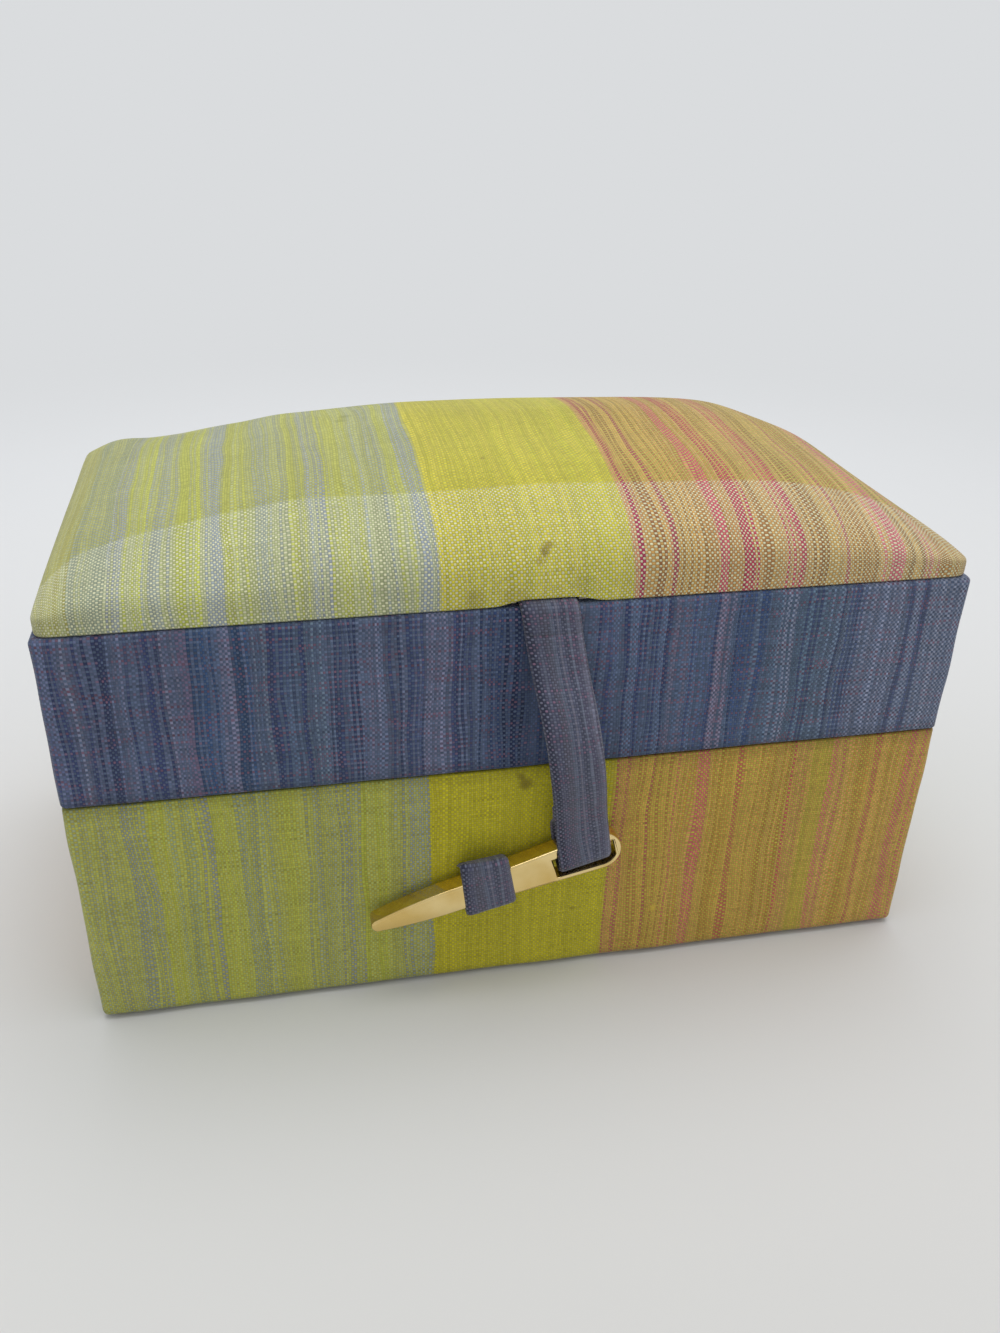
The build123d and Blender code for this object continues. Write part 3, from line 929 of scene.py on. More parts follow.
@dataclass
class WrappedShell:
    """Cloth glued round an upright shell of boards, folded over its edges."""

    sizes: BoxSizes
    name: str
    body: str
    slot: str
    node: str
    rests_on: tuple[str, ...]
    rim_turn_in: float = 8.0
    per_long: int = 84
    per_short: int = 44
    per_corner: int = 6
    unevenness: float = 0.1
    wave: float = 17.0
    solid_share: float = 0.9
    seed: int = 3

    def ring(self, inset: float, corner: float) -> np.ndarray:
        """Points round the shell, from the middle of the back by the left to the front.

        Args:
            inset: how far inside the outermost ring.
            corner: radius of its corners.

        Returns:
            The points' X and Y.
        """
        width, depth = self.sizes.half_width - inset, self.sizes.half_depth - inset
        corners = [(-1, 1), (-1, -1), (1, -1), (1, 1)]
        counts = [self.per_long // 2, self.per_short, self.per_long, self.per_short]
        points = [np.array([[0.0, depth]])]
        for (toward_x, toward_y), count, start in zip(corners, counts, (90, 180, 270, 0)):
            centre = np.array([toward_x * (width - corner), toward_y * (depth - corner)])
            angles = np.radians(np.linspace(start, start + 90, self.per_corner + 1))
            arc = centre + corner * on_circle(angles)
            points += [between(points[-1][-1], arc[0], count), arc]
        points.append(between(points[-1][-1], points[0][0], self.per_long // 2))
        return np.concatenate(points)

    def bend(self, middle: tuple[float, float], radius: float, start: float) -> np.ndarray:
        """A quarter turn of the section about a middle, clockwise from an angle in degrees."""
        angles = np.radians(np.linspace(start, start - 90, 6))
        return np.array(middle) + radius * on_circle(angles)

    def section(self) -> np.ndarray:
        """Inset and height along the cloth's cross-section, from its lower end."""
        raise NotImplementedError

    def make(self, material: Material) -> None:
        """Args:
            material: its silk.
        """
        section, sizes = self.section(), self.sizes
        outer = self.ring(0.0, sizes.wrapped_corner)
        across = lengths(np.concatenate([outer, outer[:1]]))
        round_length = across[-1]
        across = across - round_length / 2
        along = lengths(section)
        along = along - along[np.argmin(np.abs(section[:, 1] - sizes.seam) + section[:, 0])]
        rings = []
        for (inset, height), place in zip(section, along):
            flat = self.ring(inset, max(sizes.wrapped_corner - inset, sizes.cloth / 2))
            ease = self.unevenness * hump(inset, 0.0, 0.05, 1.0)
            puff = ripple(across[:-1], np.full(len(flat), place), self.wave, ease, self.seed)
            ahead = np.roll(flat, -1, 0) - np.roll(flat, 1, 0)
            outward = np.stack([ahead[:, 1], -ahead[:, 0]], -1)
            outward /= np.linalg.norm(outward, axis=1, keepdims=True)
            flat = flat - outward * puff[:, None]
            rings.append(np.column_stack([flat, np.full(len(flat), height)]))
        grid = np.array(rings)
        faces = grid_faces(grid.shape[0], grid.shape[1], wraps=True)
        piece = make_mesh(self.name, grid.reshape(-1, 3), faces, grid_cloth(across, along))
        thickness = self.solid_share * sizes.cloth * MM
        settle(piece, "SOLIDIFY", thickness=thickness, offset=-1.0, use_even_offset=True)
        finish_piece(piece, material, self.body, (self.node,))


@dataclass
class BaseCover(WrappedShell):
    """Striped silk round the base, over its rim, and turned under its floor."""

    name: str = "base_silk_cover"
    body: str = "base"
    slot: str = "base_silk"
    node: str = "base_cover"
    rests_on: tuple[str, ...] = ("base_front_board", "base_back_board", "base_floor_board")
    turn_under: float = 12.0

    def section(self) -> np.ndarray:
        """Inset and height along the cloth, from under the floor to inside the rim.

        Returns:
            The points in millimetres.
        """
        s = self.sizes
        low, rim = s.cover_bottom, s.seam - s.seam_half_gap
        inside = 2 * s.cloth + s.board
        wall = np.linspace(low + s.wrapped_corner, rim - s.rim_fold, 26)[1:-1]
        return np.concatenate(
            [
                np.column_stack([np.linspace(self.turn_under, 2.0, 6), np.full(6, low)]),
                self.bend((s.wrapped_corner, low + s.wrapped_corner), s.wrapped_corner, 270),
                np.column_stack([0 * wall, wall]),
                self.bend((s.rim_fold, rim - s.rim_fold), s.rim_fold, 180),
                self.bend((inside - s.rim_fold, rim - s.rim_fold), s.rim_fold, 90),
                [[inside, rim - self.rim_turn_in / 2], [inside, rim - self.rim_turn_in]],
            ]
        )


@dataclass
class LidBand(WrappedShell):
    """Slate silk round the lid, up inside its rim, and turned in under the cushion."""

    name: str = "lid_silk_band"
    body: str = "lid"
    slot: str = "band_silk"
    node: str = "lid_band_cover"
    rests_on: tuple[str, ...] = ("lid_front_board", "lid_back_board", "lid_top_board")
    top_turn_in: float = 8.0
    seed: int = 5

    def section(self) -> np.ndarray:
        """Inset and height along the cloth, from inside the rim to under the cushion.

        Returns:
            The points in millimetres.
        """
        s = self.sizes
        rim, inside = s.seam + s.seam_half_gap, 2 * s.cloth + s.board
        wall = np.linspace(rim + s.rim_fold, s.lid_top - s.lid_fold, 20)[1:-1]
        under = np.linspace(s.lid_fold, self.top_turn_in, 5)[1:]
        return np.concatenate(
            [
                [[inside, rim + self.rim_turn_in], [inside, rim + self.rim_turn_in / 2]],
                self.bend((inside - s.rim_fold, rim + s.rim_fold), s.rim_fold, 360),
                self.bend((s.rim_fold, rim + s.rim_fold), s.rim_fold, 270),
                np.column_stack([0 * wall, wall]),
                self.bend((s.lid_fold, s.lid_top - s.lid_fold), s.lid_fold, 180),
                np.column_stack([under, 0 * under + s.lid_top]),
            ]
        )


# The cushion


@dataclass(frozen=True)
class Swell:
    """A soft rise or dip of the cushion: how high, and middle, half and slope each way."""

    rise: float
    x: Span
    y: Span | None = None

    def at(self, x: np.ndarray, y: np.ndarray) -> np.ndarray:
        """Its height at every place."""
        level = self.rise * hump(x, *self.x)
        return level if self.y is None else level * hump(y, *self.y)


@dataclass
class Cushion:
    """The crowned pad on the lid: wadding on a card under a tight checked cloth."""

    sizes: BoxSizes
    half_width: float = 69.4
    half_depth: float = 34.9
    edge: float = 2.6
    shoulder: float = 4.0
    rise: float = 13.0
    end_share: float = 0.05
    length_power: float = 3.675
    length_ease: float = 0.884
    depth_power: float = 2.2
    depth_ease: float = 0.41
    corner: float = 2.0
    hem: float = 0.45
    turn_in: float = 8.0
    seam_gap: float = 0.04
    columns: int = 101
    rows: int = 65
    strap_middle: float = 2.4
    strap_lift: float = 0.95
    pucker_middle: float = 3.7
    pucker_height: float = 3.6
    pucker_lean: float = 0.06
    pucker_depth: float = 0.55
    seed: int = 11
    # a full left end with a hollow beside it, a full rear, and a low right rear corner
    swells: tuple[Swell, ...] = (
        Swell(1.7, (-half_width, 3.5, 9.5)),
        Swell(-0.6, (-46.0, 4.0, 9.0)),
        Swell(0.9, (16.0, 26.0, 24.0), (18.0, 7.0, 18.0)),
        Swell(-1.9, (half_width, 8.0, 16.0), (half_depth, 6.0, 24.0)),
    )
    # what the two ends do right down to their edges
    end_swells: tuple[Swell, ...] = (
        Swell(-1.0, (half_width, 3.0, 10.0), (half_depth, 38.0, 26.0)),
        Swell(0.4, (-half_width, 3.0, 12.0), (half_depth, 5.0, 18.0)),
    )

    def height(self, x: np.ndarray, y: np.ndarray) -> np.ndarray:
        """Height of the cushion above its seam.

        Args:
            x: places from left to right.
            y: places from front to back.

        Returns:
            The heights in millimetres.
        """
        share = np.clip(np.abs(x) / self.half_width, 0, 1)
        crown = (1 - share**self.length_power) ** self.length_ease
        crown = self.end_share + (1 - self.end_share) * crown
        away = np.clip(np.abs(y) / self.half_depth, 0, 1)
        arch = (1 - away**self.depth_power) ** self.depth_ease
        return self.edge + self.rise * crown * arch

    def spacing(self, half: float, count: int, lengthwise: bool) -> np.ndarray:
        """Places that are evenly spaced along the curved surface.

        Args:
            half: half the cushion's size that way.
            count: how many places.
            lengthwise: whether they run from left to right.

        Returns:
            Rows of place and length along the cloth, both 0 in the middle.
        """
        fine = half * np.sin(np.linspace(-math.pi / 2, math.pi / 2, 4001))
        level = self.height(fine, 0 * fine) if lengthwise else self.height(0 * fine, fine)
        run = lengths(np.stack([fine, level], -1))
        places = np.linspace(0, run[-1], count)
        return np.stack([np.interp(places, run, fine), places - run[-1] / 2], -1)

    def rounded(self, x: np.ndarray, y: np.ndarray) -> tuple[np.ndarray, np.ndarray]:
        """Moves the points of a square corner onto a round one.

        Args:
            x: places from left to right.
            y: places from front to back.

        Returns:
            The new places.
        """
        straight_x, straight_y = self.half_width - self.corner, self.half_depth - self.corner
        over_x, over_y = np.abs(x) - straight_x, np.abs(y) - straight_y
        both = (over_x > 0) & (over_y > 0)
        far = np.maximum(np.hypot(over_x, over_y), 1e-9)
        scale = np.where(both, np.maximum(over_x, over_y) / far, 1.0)
        new_x = np.where(both, np.sign(x) * (straight_x + over_x * scale), x)
        new_y = np.where(both, np.sign(y) * (straight_y + over_y * scale), y)
        return new_x, new_y

    def handled(self, x: np.ndarray, y: np.ndarray, z: np.ndarray) -> np.ndarray:
        """Adds what use has done: soft unevenness, and a pucker above the strap.

        Args:
            x: places from left to right.
            y: places from front to back.
            z: the even cushion's heights.

        Returns:
            The used cushion's heights.
        """
        inner = np.clip((z - self.edge) / self.shoulder, 0, 1)
        z = z + ripple(x, y, 26.0, 0.11, self.seed) * inner
        z = z + inner * sum(swell.at(x, y) for swell in self.swells)
        z = z + sum(swell.at(x, y) for swell in self.end_swells)
        near = hump(y, -self.half_depth, 1.2, 5.0) * hump(x, self.pucker_middle, 3.0, 4.5)
        crease = self.pucker_height + self.pucker_lean * (x - self.pucker_middle)
        return z - self.pucker_depth * near * hump(z, crease, 0.3, 1.3)

    def seam_height(self, x: np.ndarray, y: np.ndarray) -> np.ndarray:
        """Height of the cushion's lower edge, which rises over the strap.

        Args:
            x: places from left to right.
            y: places from front to back.

        Returns:
            The heights in millimetres.
        """
        near = hump(y, -self.half_depth, 2.0, 10.0) * hump(x, self.strap_middle, 3.6, 5.0)
        uneven = np.abs(ripple(x, y, 20.0, 0.05, self.seed + 1))
        return self.seam_gap + self.strap_lift * near + uneven

    def mesh(self, name: str) -> Piece:
        """Builds the closed cushion.

        Args:
            name: the piece's name.

        Returns:
            The piece.
        """
        wide = self.spacing(self.half_width, self.columns, lengthwise=True)
        deep = self.spacing(self.half_depth, self.rows, lengthwise=False)
        x, y = np.meshgrid(wide[:, 0], deep[:, 0])
        z = self.handled(x, y, self.height(x, y))
        floor = self.sizes.lid_top
        points = [np.stack([*self.rounded(x, y), floor + z], -1).reshape(-1, 3)]
        faces = grid_faces(self.rows, self.columns)
        cloth = grid_cloth(wide[:, 1], deep[:, 1])
        edge = grid_border(self.rows, self.columns)
        rim_x, rim_y, top = (np.array([part[place] for place in edge]) for part in (x, y, z))
        bottom = self.seam_height(rim_x, rim_y)
        flat = np.array([(wide[column, 1], deep[row, 1]) for row, column in edge])
        sides = ((rim_x, self.half_width), (rim_y, self.half_depth))
        outward = np.stack(
            [np.where(np.abs(part) > half - 1e-6, np.sign(part), 0.0) for part, half in sides], -1
        )
        # rings down the side, round the hem and in under the cushion: inset, share of the side
        levels = [(0.0, 0.66), (0.0, 0.33), (0.0, 0.12), (0.3 * self.hem, 0.03), (self.hem, 0.0)]
        levels += [(3.0, 0.0), (self.turn_in, 0.0)]
        previous = np.array([row * self.columns + column for row, column in edge])
        drop, start = np.zeros(len(edge)), len(points[0])
        for inset, share in levels:
            ring = self.rounded(*(part * (1 - inset / half) for part, half in sides))
            level = bottom + (top - bottom) * share
            points.append(np.stack([*ring, floor + level], -1))
            now = np.arange(start, start + len(edge))
            start += len(edge)
            fall = top - level + inset
            for i in range(len(edge)):
                j = (i + 1) % len(edge)
                faces.append((previous[i], now[i], now[j], previous[j]))
                for k, depth in ((i, drop), (i, fall), (j, fall), (j, drop)):
                    cloth.append(tuple(flat[k] + outward[k] * depth[k]))
            previous, drop = now, fall
        inner_x, inner_y = (
            part[1:-1, 1:-1] * (1 - self.turn_in / half)
            for part, half in ((x, self.half_width), (y, self.half_depth))
        )
        points.append(np.stack([inner_x, inner_y, 0 * inner_x + floor], -1).reshape(-1, 3))
        under = np.zeros((self.rows, self.columns), int)
        under[1:-1, 1:-1] = start + np.arange(inner_x.size).reshape(inner_x.shape)
        for place, number in zip(edge, previous):
            under[place] = number
        numbers = under.ravel()
        turned = [face[::-1] for face in grid_faces(self.rows, self.columns)]
        faces += [tuple(numbers[i] for i in face) for face in turned]
        cloth += grid_cloth(wide[:, 1], deep[:, 1])
        faces = [tuple(int(i) for i in face) for face in faces]
        piece = make_mesh(name, np.concatenate(points), faces, cloth)
        face_outward(piece.data)
        settle(piece, "SUBSURF", levels=1, render_levels=1)
        piece.data.shade_smooth()
        return piece

    def make(self, material: Material) -> None:
        """Args:
            material: its silk.
        """
        piece = self.mesh("cushion_silk_cover")
        finish_piece(piece, material, "lid", ("pad_cover", "pad_wadding"))


# Toggle, strap and keeper


@dataclass
class Toggle:
    """The gilt bar: a rounded tip, a taper, and a round head with a slot for the strap."""

    sizes: BoxSizes
    length: float = 42.3
    thickness: float = 3.2
    slope: float = 16.0
    tip_x: float = -25.9
    tip_height: float = 16.85
    standoff: float = 1.2
    tip_depth: float = 1.2
    tip_half: float = 1.15
    neck_at: float = 6.0
    neck_half: float = 1.85
    waist_at: float = 15.5
    waist_half: float = 2.34
    head_depth: float = 3.5
    head_half: float = 3.55
    slot_start: float = 30.9
    slot_end: float = 41.1
    slot_top: float = 1.4
    slot_rim: float = 0.75
    edge: float = 0.4
    sharp_from: float = 32.0

    def through(self, steps: int, *stops: tuple[float, float]) -> np.ndarray:
        """Points of the arc through three points, without its last.

        Args:
            steps: how many points to give back.
            stops: the first, middle and last point.

        Returns:
            The points.
        """
        (ax, ay), (bx, by), (cx, cy) = stops
        twice = 2 * (ax * (by - cy) + bx * (cy - ay) + cx * (ay - by))
        sa, sb, sc = ax * ax + ay * ay, bx * bx + by * by, cx * cx + cy * cy
        ux = (sa * (by - cy) + sb * (cy - ay) + sc * (ay - by)) / twice
        uy = (sa * (cx - bx) + sb * (ax - cx) + sc * (bx - ax)) / twice
        first, mid, last = (math.atan2(y - uy, x - ux) for x, y in stops)
        sweep = (last - first) % TURN
        if (mid - first) % TURN > sweep:
            sweep -= TURN
        turns = first + sweep * np.linspace(0, 1, steps + 1)[:-1]
        return np.array([ux, uy]) + math.hypot(ax - ux, ay - uy) * on_circle(turns)

    def outline(self) -> np.ndarray:
        """The bar's edge, from its lower tip round by its upper side.

        Returns:
            Places along the bar and across it.
        """
        tip, neck = (self.tip_depth, self.tip_half), (self.neck_at, self.neck_half)
        waist = (self.waist_at, self.waist_half)
        head = (self.length - self.head_depth, self.head_half)
        low_tip, low_neck, low_waist, low_head = ((x, -y) for x, y in (tip, neck, waist, head))
        return np.concatenate(
            [
                self.through(18, low_tip, (0, 0), tip),
                self.through(20, tip, neck, waist),
                [waist],
                self.through(32, head, (self.length, 0), low_head),
                [low_head],
                self.through(20, low_waist, low_neck, low_tip),
            ]
        )

    def slot(self) -> np.ndarray:
        """The slot's edge, which keeps its distance to the bar's lower side and head.

        Returns:
            Places along the bar and across it.
        """
        shoulder = self.length - self.head_depth
        reach = self.head_half - self.slot_rim
        fall = (self.head_half - self.waist_half) / (shoulder - self.waist_at)
        lower = self.waist_half + fall * (self.slot_start - self.waist_at) - self.slot_rim
        turn = math.acos(min(1.0, (self.slot_end - shoulder) / reach))
        head = [shoulder, 0.0] + reach * on_circle(np.linspace(-turn, -math.pi / 2, 8))
        upper = [[self.slot_start, self.slot_top], [self.slot_end, self.slot_top]]
        return np.concatenate([upper, head, [[self.slot_start, -lower]]])

    def make(self, material: Material) -> None:
        """Builds and dresses the toggle.

        Args:
            material: its gilt.
        """
        curve = bpy.data.curves.new("toggle_outline", "CURVE")
        curve.dimensions = "2D"
        curve.fill_mode = "BOTH"
        curve.extrude = (self.thickness / 2 - self.edge) * MM
        curve.bevel_depth = self.edge * MM
        curve.bevel_resolution = 4
        curve.offset = -self.edge * MM
        for points in (self.outline(), self.slot()):
            spline = curve.splines.new("POLY")
            spline.points.add(len(points) - 1)
            for point, (x, y) in zip(spline.points, points):
                point.co = (x * MM, y * MM, 0.0, 1.0)
            spline.use_cyclic_u = True
        drawn = link("toggle_drawn", curve)
        graph = bpy.context.evaluated_depsgraph_get()
        mesh = bpy.data.meshes.new_from_object(drawn.evaluated_get(graph))
        bpy.data.objects.remove(drawn)
        slope = math.radians(self.slope)
        along = Vector((math.cos(slope), 0.0, math.sin(slope)))
        out = Vector((0.0, -1.0, 0.0))
        pose = Matrix((along, out.cross(along), out)).transposed().to_4x4()
        before = self.sizes.half_depth + self.standoff + self.thickness / 2
        pose.translation = Vector((self.tip_x * MM, -before * MM, self.tip_height * MM))
        mesh.transform(pose)
        face_outward(mesh, merge=1e-6)
        mesh.shade_smooth()
        mesh.set_sharp_from_angle(angle=math.radians(self.sharp_from))
        piece = link("toggle_bar", mesh)
        finish_piece(piece, material, "toggle", ("toggle",))


@dataclass
class Strap:
    """The flat cloth strap: out of the cushion's seam, over the lid, and through the toggle."""

    sizes: BoxSizes
    width: float = 8.8
    thickness: float = 0.8
    lean: float = 8.7
    middle: float = 2.2
    ease: float = 0.1
    bulge: float = 7.4
    bulge_height: float = 47.0
    tab_length: float = 12.0
    slot_ease: float = 0.2
    slack: float = 0.85
    crown: float = 0.18
    crown_span: Span = (34.0, 14.0, 8.0)
    narrowing: float = 0.02
    columns: int = 23
    root_end: int = 22
    root_blend: tuple[int, int] = (10, 21)
    fall_blend: tuple[int, int] = (24, 70)

    def run(self, across: float, toggle: Toggle) -> np.ndarray:
        """The strap's line in the leaning plane of one place across it.

        Args:
            across: the place from the strap's middle.
            toggle: the toggle that it holds.

        Returns:
            The points' Y from the box front and height from the lid's edge.
        """
        lean, slope = math.radians(self.lean), math.radians(toggle.slope)
        fold = self.sizes.lid_fold
        pivot = self.sizes.lid_top - fold
        level_x = self.middle + across + pivot * math.tan(lean)
        start = toggle.tip_height + toggle.slot_top / math.cos(slope)
        start -= toggle.tip_x * math.tan(slope)
        slot = (start + level_x * math.tan(slope)) / (1 + math.tan(lean) * math.tan(slope))
        loop = (slot - pivot) / math.cos(lean) - self.slack
        head_reach = toggle.head_half - toggle.slot_top + self.slot_ease
        rim = loop + self.slack + head_reach / math.cos(slope)
        bulge = (self.bulge_height - pivot) / math.cos(lean)
        bend = fold + self.ease + self.thickness / 2
        loop_radius = toggle.thickness / 2 + self.slot_ease + self.thickness / 2
        loop_middle = toggle.standoff + toggle.thickness / 2
        front, back = loop_middle + loop_radius, loop_middle - loop_radius
        over = fold - bend
        seam_y, seam_z = -(self.bulge + front) / 2, (bulge + rim) / 2
        closing_y = seam_y + self.thickness
        # where each arc ends, and its number of points: over the lid's edge, down the bulge,
        # in front of the toggle, round through its slot, and up behind the strap
        stops = [
            ((fold, bend), 9),
            ((over, 0.0), 9),
            (((over - self.bulge) / 2, bulge / 2), 14),
            ((-self.bulge, bulge), 14),
            ((seam_y, seam_z), 10),
            ((-front, rim), 10),
            ((-front, loop), 5),
            ((-loop_middle, loop - loop_radius), 8),
            ((-back, loop), 8),
            ((-back, rim), 5),
            (((closing_y - back) / 2, (rim + seam_z) / 2), 8),
            ((closing_y, seam_z), 8),
        ]
        here, heading = np.array([fold + self.tab_length, bend]), np.array([-1.0, 0.0])
        points = [here[None]]
        for stop, steps in stops:
            arc, heading = tangent_arc(here, heading, np.array(stop), steps)
            points.append(arc)
            here = np.array(stop)
        return np.concatenate(points)

    def surface(self, toggle: Toggle) -> np.ndarray:
        """Points of the strap's middle surface.

        Args:
            toggle: the toggle that it holds.

        Returns:
            The points, along the strap and across it.
        """
        lean = math.radians(self.lean)
        pivot = self.sizes.lid_top - self.sizes.lid_fold
        columns = []
        for place in np.linspace(-self.width / 2, self.width / 2, self.columns):
            line = self.run(place, toggle)
            run = lengths(line)
            narrow = 1 - self.narrowing * hump(run, run[-1] * 0.5, 6.0, 14.0)
            bow = self.crown * (1 - (2 * place / self.width) ** 2) * hump(run, *self.crown_span)
            x = self.middle + place * narrow - line[:, 1] * math.sin(lean)
            y = line[:, 0] - self.sizes.half_depth - bow
            columns.append(np.stack([x, y, pivot + line[:, 1] * math.cos(lean)], -1))
        return np.stack(columns, axis=1)

    def make(self, toggle: Toggle, material: Material) -> None:
        """Builds and dresses the strap, as its root on the lid and its fall to the toggle.

        Args:
            toggle: the toggle that it holds.
            material: its silk.
        """
        grid = self.surface(toggle)
        middle = grid[:, self.columns // 2]
        across = np.linspace(-self.width / 2, self.width / 2, self.columns)
        along, cut = lengths(middle), self.root_end
        root = ribbon("strap_root", grid[: cut + 1], self.thickness, across, along[: cut + 1])
        fall = ribbon("strap_fall", grid[cut:], self.thickness, across, along[cut:])
        finish_piece(root, material, None, ("strap_tab", "strap"))
        finish_piece(fall, material, None, ("strap",))
        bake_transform(root)
        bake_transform(fall)


@dataclass
class Keeper:
    """The cloth band on the base that the toggle pushes through."""

    sizes: BoxSizes
    thickness: float = 0.8
    half_width: float = 4.1
    bend: float = 1.0
    columns: int = 19
    rows: int = 61
    rooted: float = 1.6
    sag: float = 0.35
    proud: float = 4.95
    # left and right end of each of its corners, as X and height
    top_in: Ends = ((-11.5, 24.2), (-3.4, 25.3))
    top_out: Ends = ((-11.75, 28.3), (-3.95, 28.75))
    low_out: Ends = ((-10.45, 16.9), (-2.3, 19.0))
    low_in: Ends = ((-10.6, 17.5), (-2.45, 19.6))
    # how far along the tape's own coordinates it was cut
    cut_at: float = 60.0

    def corner(self, ends: Ends, share: float, out: float, lift: float) -> np.ndarray:
        """A corner of the band's line.

        Args:
            ends: the corner's left and right end.
            share: the place between them, from 0 to 1.
            out: how far it stands before the base.
            lift: how far it lies above the ends.

        Returns:
            The point in millimetres.
        """
        left, right = np.array(ends[0]), np.array(ends[1])
        x, z = left + (right - left) * share
        return np.array([x, -self.sizes.half_depth - out, z + lift])

    def line(self, share: float) -> np.ndarray:
        """The band's line at a share of its width: out, down the face, and in again.

        Args:
            share: 0 at the left edge, 1 at the right.

        Returns:
            The points in millimetres.
        """
        half = self.thickness / 2
        sag = self.sag * math.sin(math.pi * share)
        corners = [
            self.corner(self.top_in, share, -self.rooted, 0.0),
            self.corner(self.top_in, share, 0.0, 0.0),
            self.corner(self.top_out, share, self.proud - half, -sag - half),
            self.corner(self.low_out, share, self.proud - half, half),
            self.corner(self.low_in, share, 0.0, half),
            self.corner(self.low_in, share, -self.rooted, half),
        ]
        points = [corners[0]]
        for before, corner, after in zip(corners, corners[1:], corners[2:]):
            back, on = before - corner, after - corner
            back_length, on_length = np.linalg.norm(back), np.linalg.norm(on)
            reach = min(self.bend, 0.45 * back_length, 0.45 * on_length)
            first, last = corner + back / back_length * reach, corner + on / on_length * reach
            for t in np.linspace(0, 1, 7):
                points.append((1 - t) ** 2 * first + 2 * t * (1 - t) * corner + t * t * last)
        points.append(corners[-1])
        return evenly(np.array(points), self.rows)

    def make(self, material: Material) -> None:
        """Builds and dresses the keeper.

        Args:
            material: its silk.
        """
        grid = np.stack([self.line(share) for share in np.linspace(0, 1, self.columns)], axis=1)
        across = np.linspace(-self.half_width, self.half_width, self.columns)
        along = lengths(grid[:, self.columns // 2]) + self.cut_at
        piece = ribbon("keeper_band", grid, self.thickness, across, along)
        finish_piece(piece, material, "base", ("keeper_loop",))


# Hinge and linings


@dataclass
class HingeStrip:
    """The strip of slate silk glued over the seam at the back, on which the lid turns."""

    sizes: BoxSizes
    half_length: float = 68.5
    reach: float = 10.0
    thickness: float = 0.4
    glue: float = 0.02
    crease_depth: float = 0.12
    crease_width: float = 0.8
    bend_reach: float = 1.6
    seed: int = 21

    def make(self, material: Material) -> None:
        """Args:
            material: its silk.
        """
        across = np.linspace(self.half_length, -self.half_length, 81)
        along = np.linspace(-self.reach, self.reach, 41)
        x, height = np.meshgrid(across, along)
        crease = -self.crease_depth * np.exp(-((height / self.crease_width) ** 2))
        puff = ripple(x, height, 13.0, 0.03, self.seed) ** 2
        out = self.thickness / 2 + self.glue + crease + puff
        grid = np.stack([x, self.sizes.half_depth + out, self.sizes.seam + height], -1)
        piece = ribbon("hinge_silk_strip", grid, self.thickness, across[::-1], along)
        finish_piece(piece, material, None, ("hinge_cloth",))
        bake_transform(piece)


@dataclass
class LinedPanel:
    """A card panel under plain cloth with thin wadding: flat below, softly crowned above."""

    name: str
    node: str
    body: str
    faces_up: bool
    crown: float = 0.45
    edge: float = 0.8
    closer_to_edge: float = 1.7
    seed: int = 31

    def make(self, material: Material) -> None:
        """Args:
            material: its cloth.
        """
        low, high = (np.array(corner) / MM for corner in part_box(self.node))
        half, middle = (high - low) / 2, (high + low) / 2
        x, y = np.meshgrid(
            *(
                half[i] * np.sign(t) * (1 - (1 - np.abs(t)) ** self.closer_to_edge)
                for i, t in ((0, np.linspace(-1, 1, 57)), (1, np.linspace(-1, 1, 33)))
            )
        )
        near = np.minimum(half[0] - np.abs(x), half[1] - np.abs(y))
        turn = 1 - np.clip(near / self.edge, 0, 1)
        fall = self.edge * (1 - np.sqrt(np.clip(1 - turn**2, 0, 1)))
        swell = self.crown * (1 - (x / half[0]) ** 4) * (1 - (y / half[1]) ** 4)
        level = 2 * half[2] - self.crown - fall + swell + ripple(x, y, 30.0, 0.05, self.seed)
        level = np.minimum(level, 2 * half[2])
        rows, columns = x.shape
        top = np.stack([x, y, level], -1).reshape(-1, 3)
        faces = grid_faces(rows, columns)
        rim = [row * columns + column for row, column in grid_border(rows, columns)]
        start = len(top)
        for i, point in enumerate(rim):
            j = (i + 1) % len(rim)
            faces.append((point, start + i, start + j, rim[j]))
        faces.append(tuple(range(start + len(rim) - 1, start - 1, -1)))
        points = np.concatenate([top, top[rim] * np.array([1.0, 1.0, 0.0])])
        if not self.faces_up:
            points = points * np.array([1.0, 1.0, -1.0])
        foot = low[2] if self.faces_up else high[2]
        points = points + np.array([middle[0], middle[1], foot])
        piece = make_mesh(self.name, points, faces)
        face_outward(piece.data)
        piece.data.set_sharp_from_angle(angle=math.radians(60))
        finish_piece(piece, material, self.body, (self.node,))


# Studio


@dataclass(frozen=True)
class Softbox:
    """The square soft lamp overhead, in metres and watts."""

    name: str = "overhead_softbox"
    place: Span = (0.06, 0.1, 1.1)
    aim: Span = (0.0, 0.0, 0.04)
    side: float = 0.9
    power: float = 6.6

    def make(self) -> None:
        """Hangs the lamp."""
        light = bpy.data.lights.new(self.name, "AREA")
        light.shape = "SQUARE"
        light.size = self.side
        light.energy = self.power
        holder = link(self.name, light)
        holder.location = self.place
        facing = Vector(self.aim) - Vector(self.place)
        holder.rotation_euler = facing.to_track_quat("-Z", "Y").to_euler()


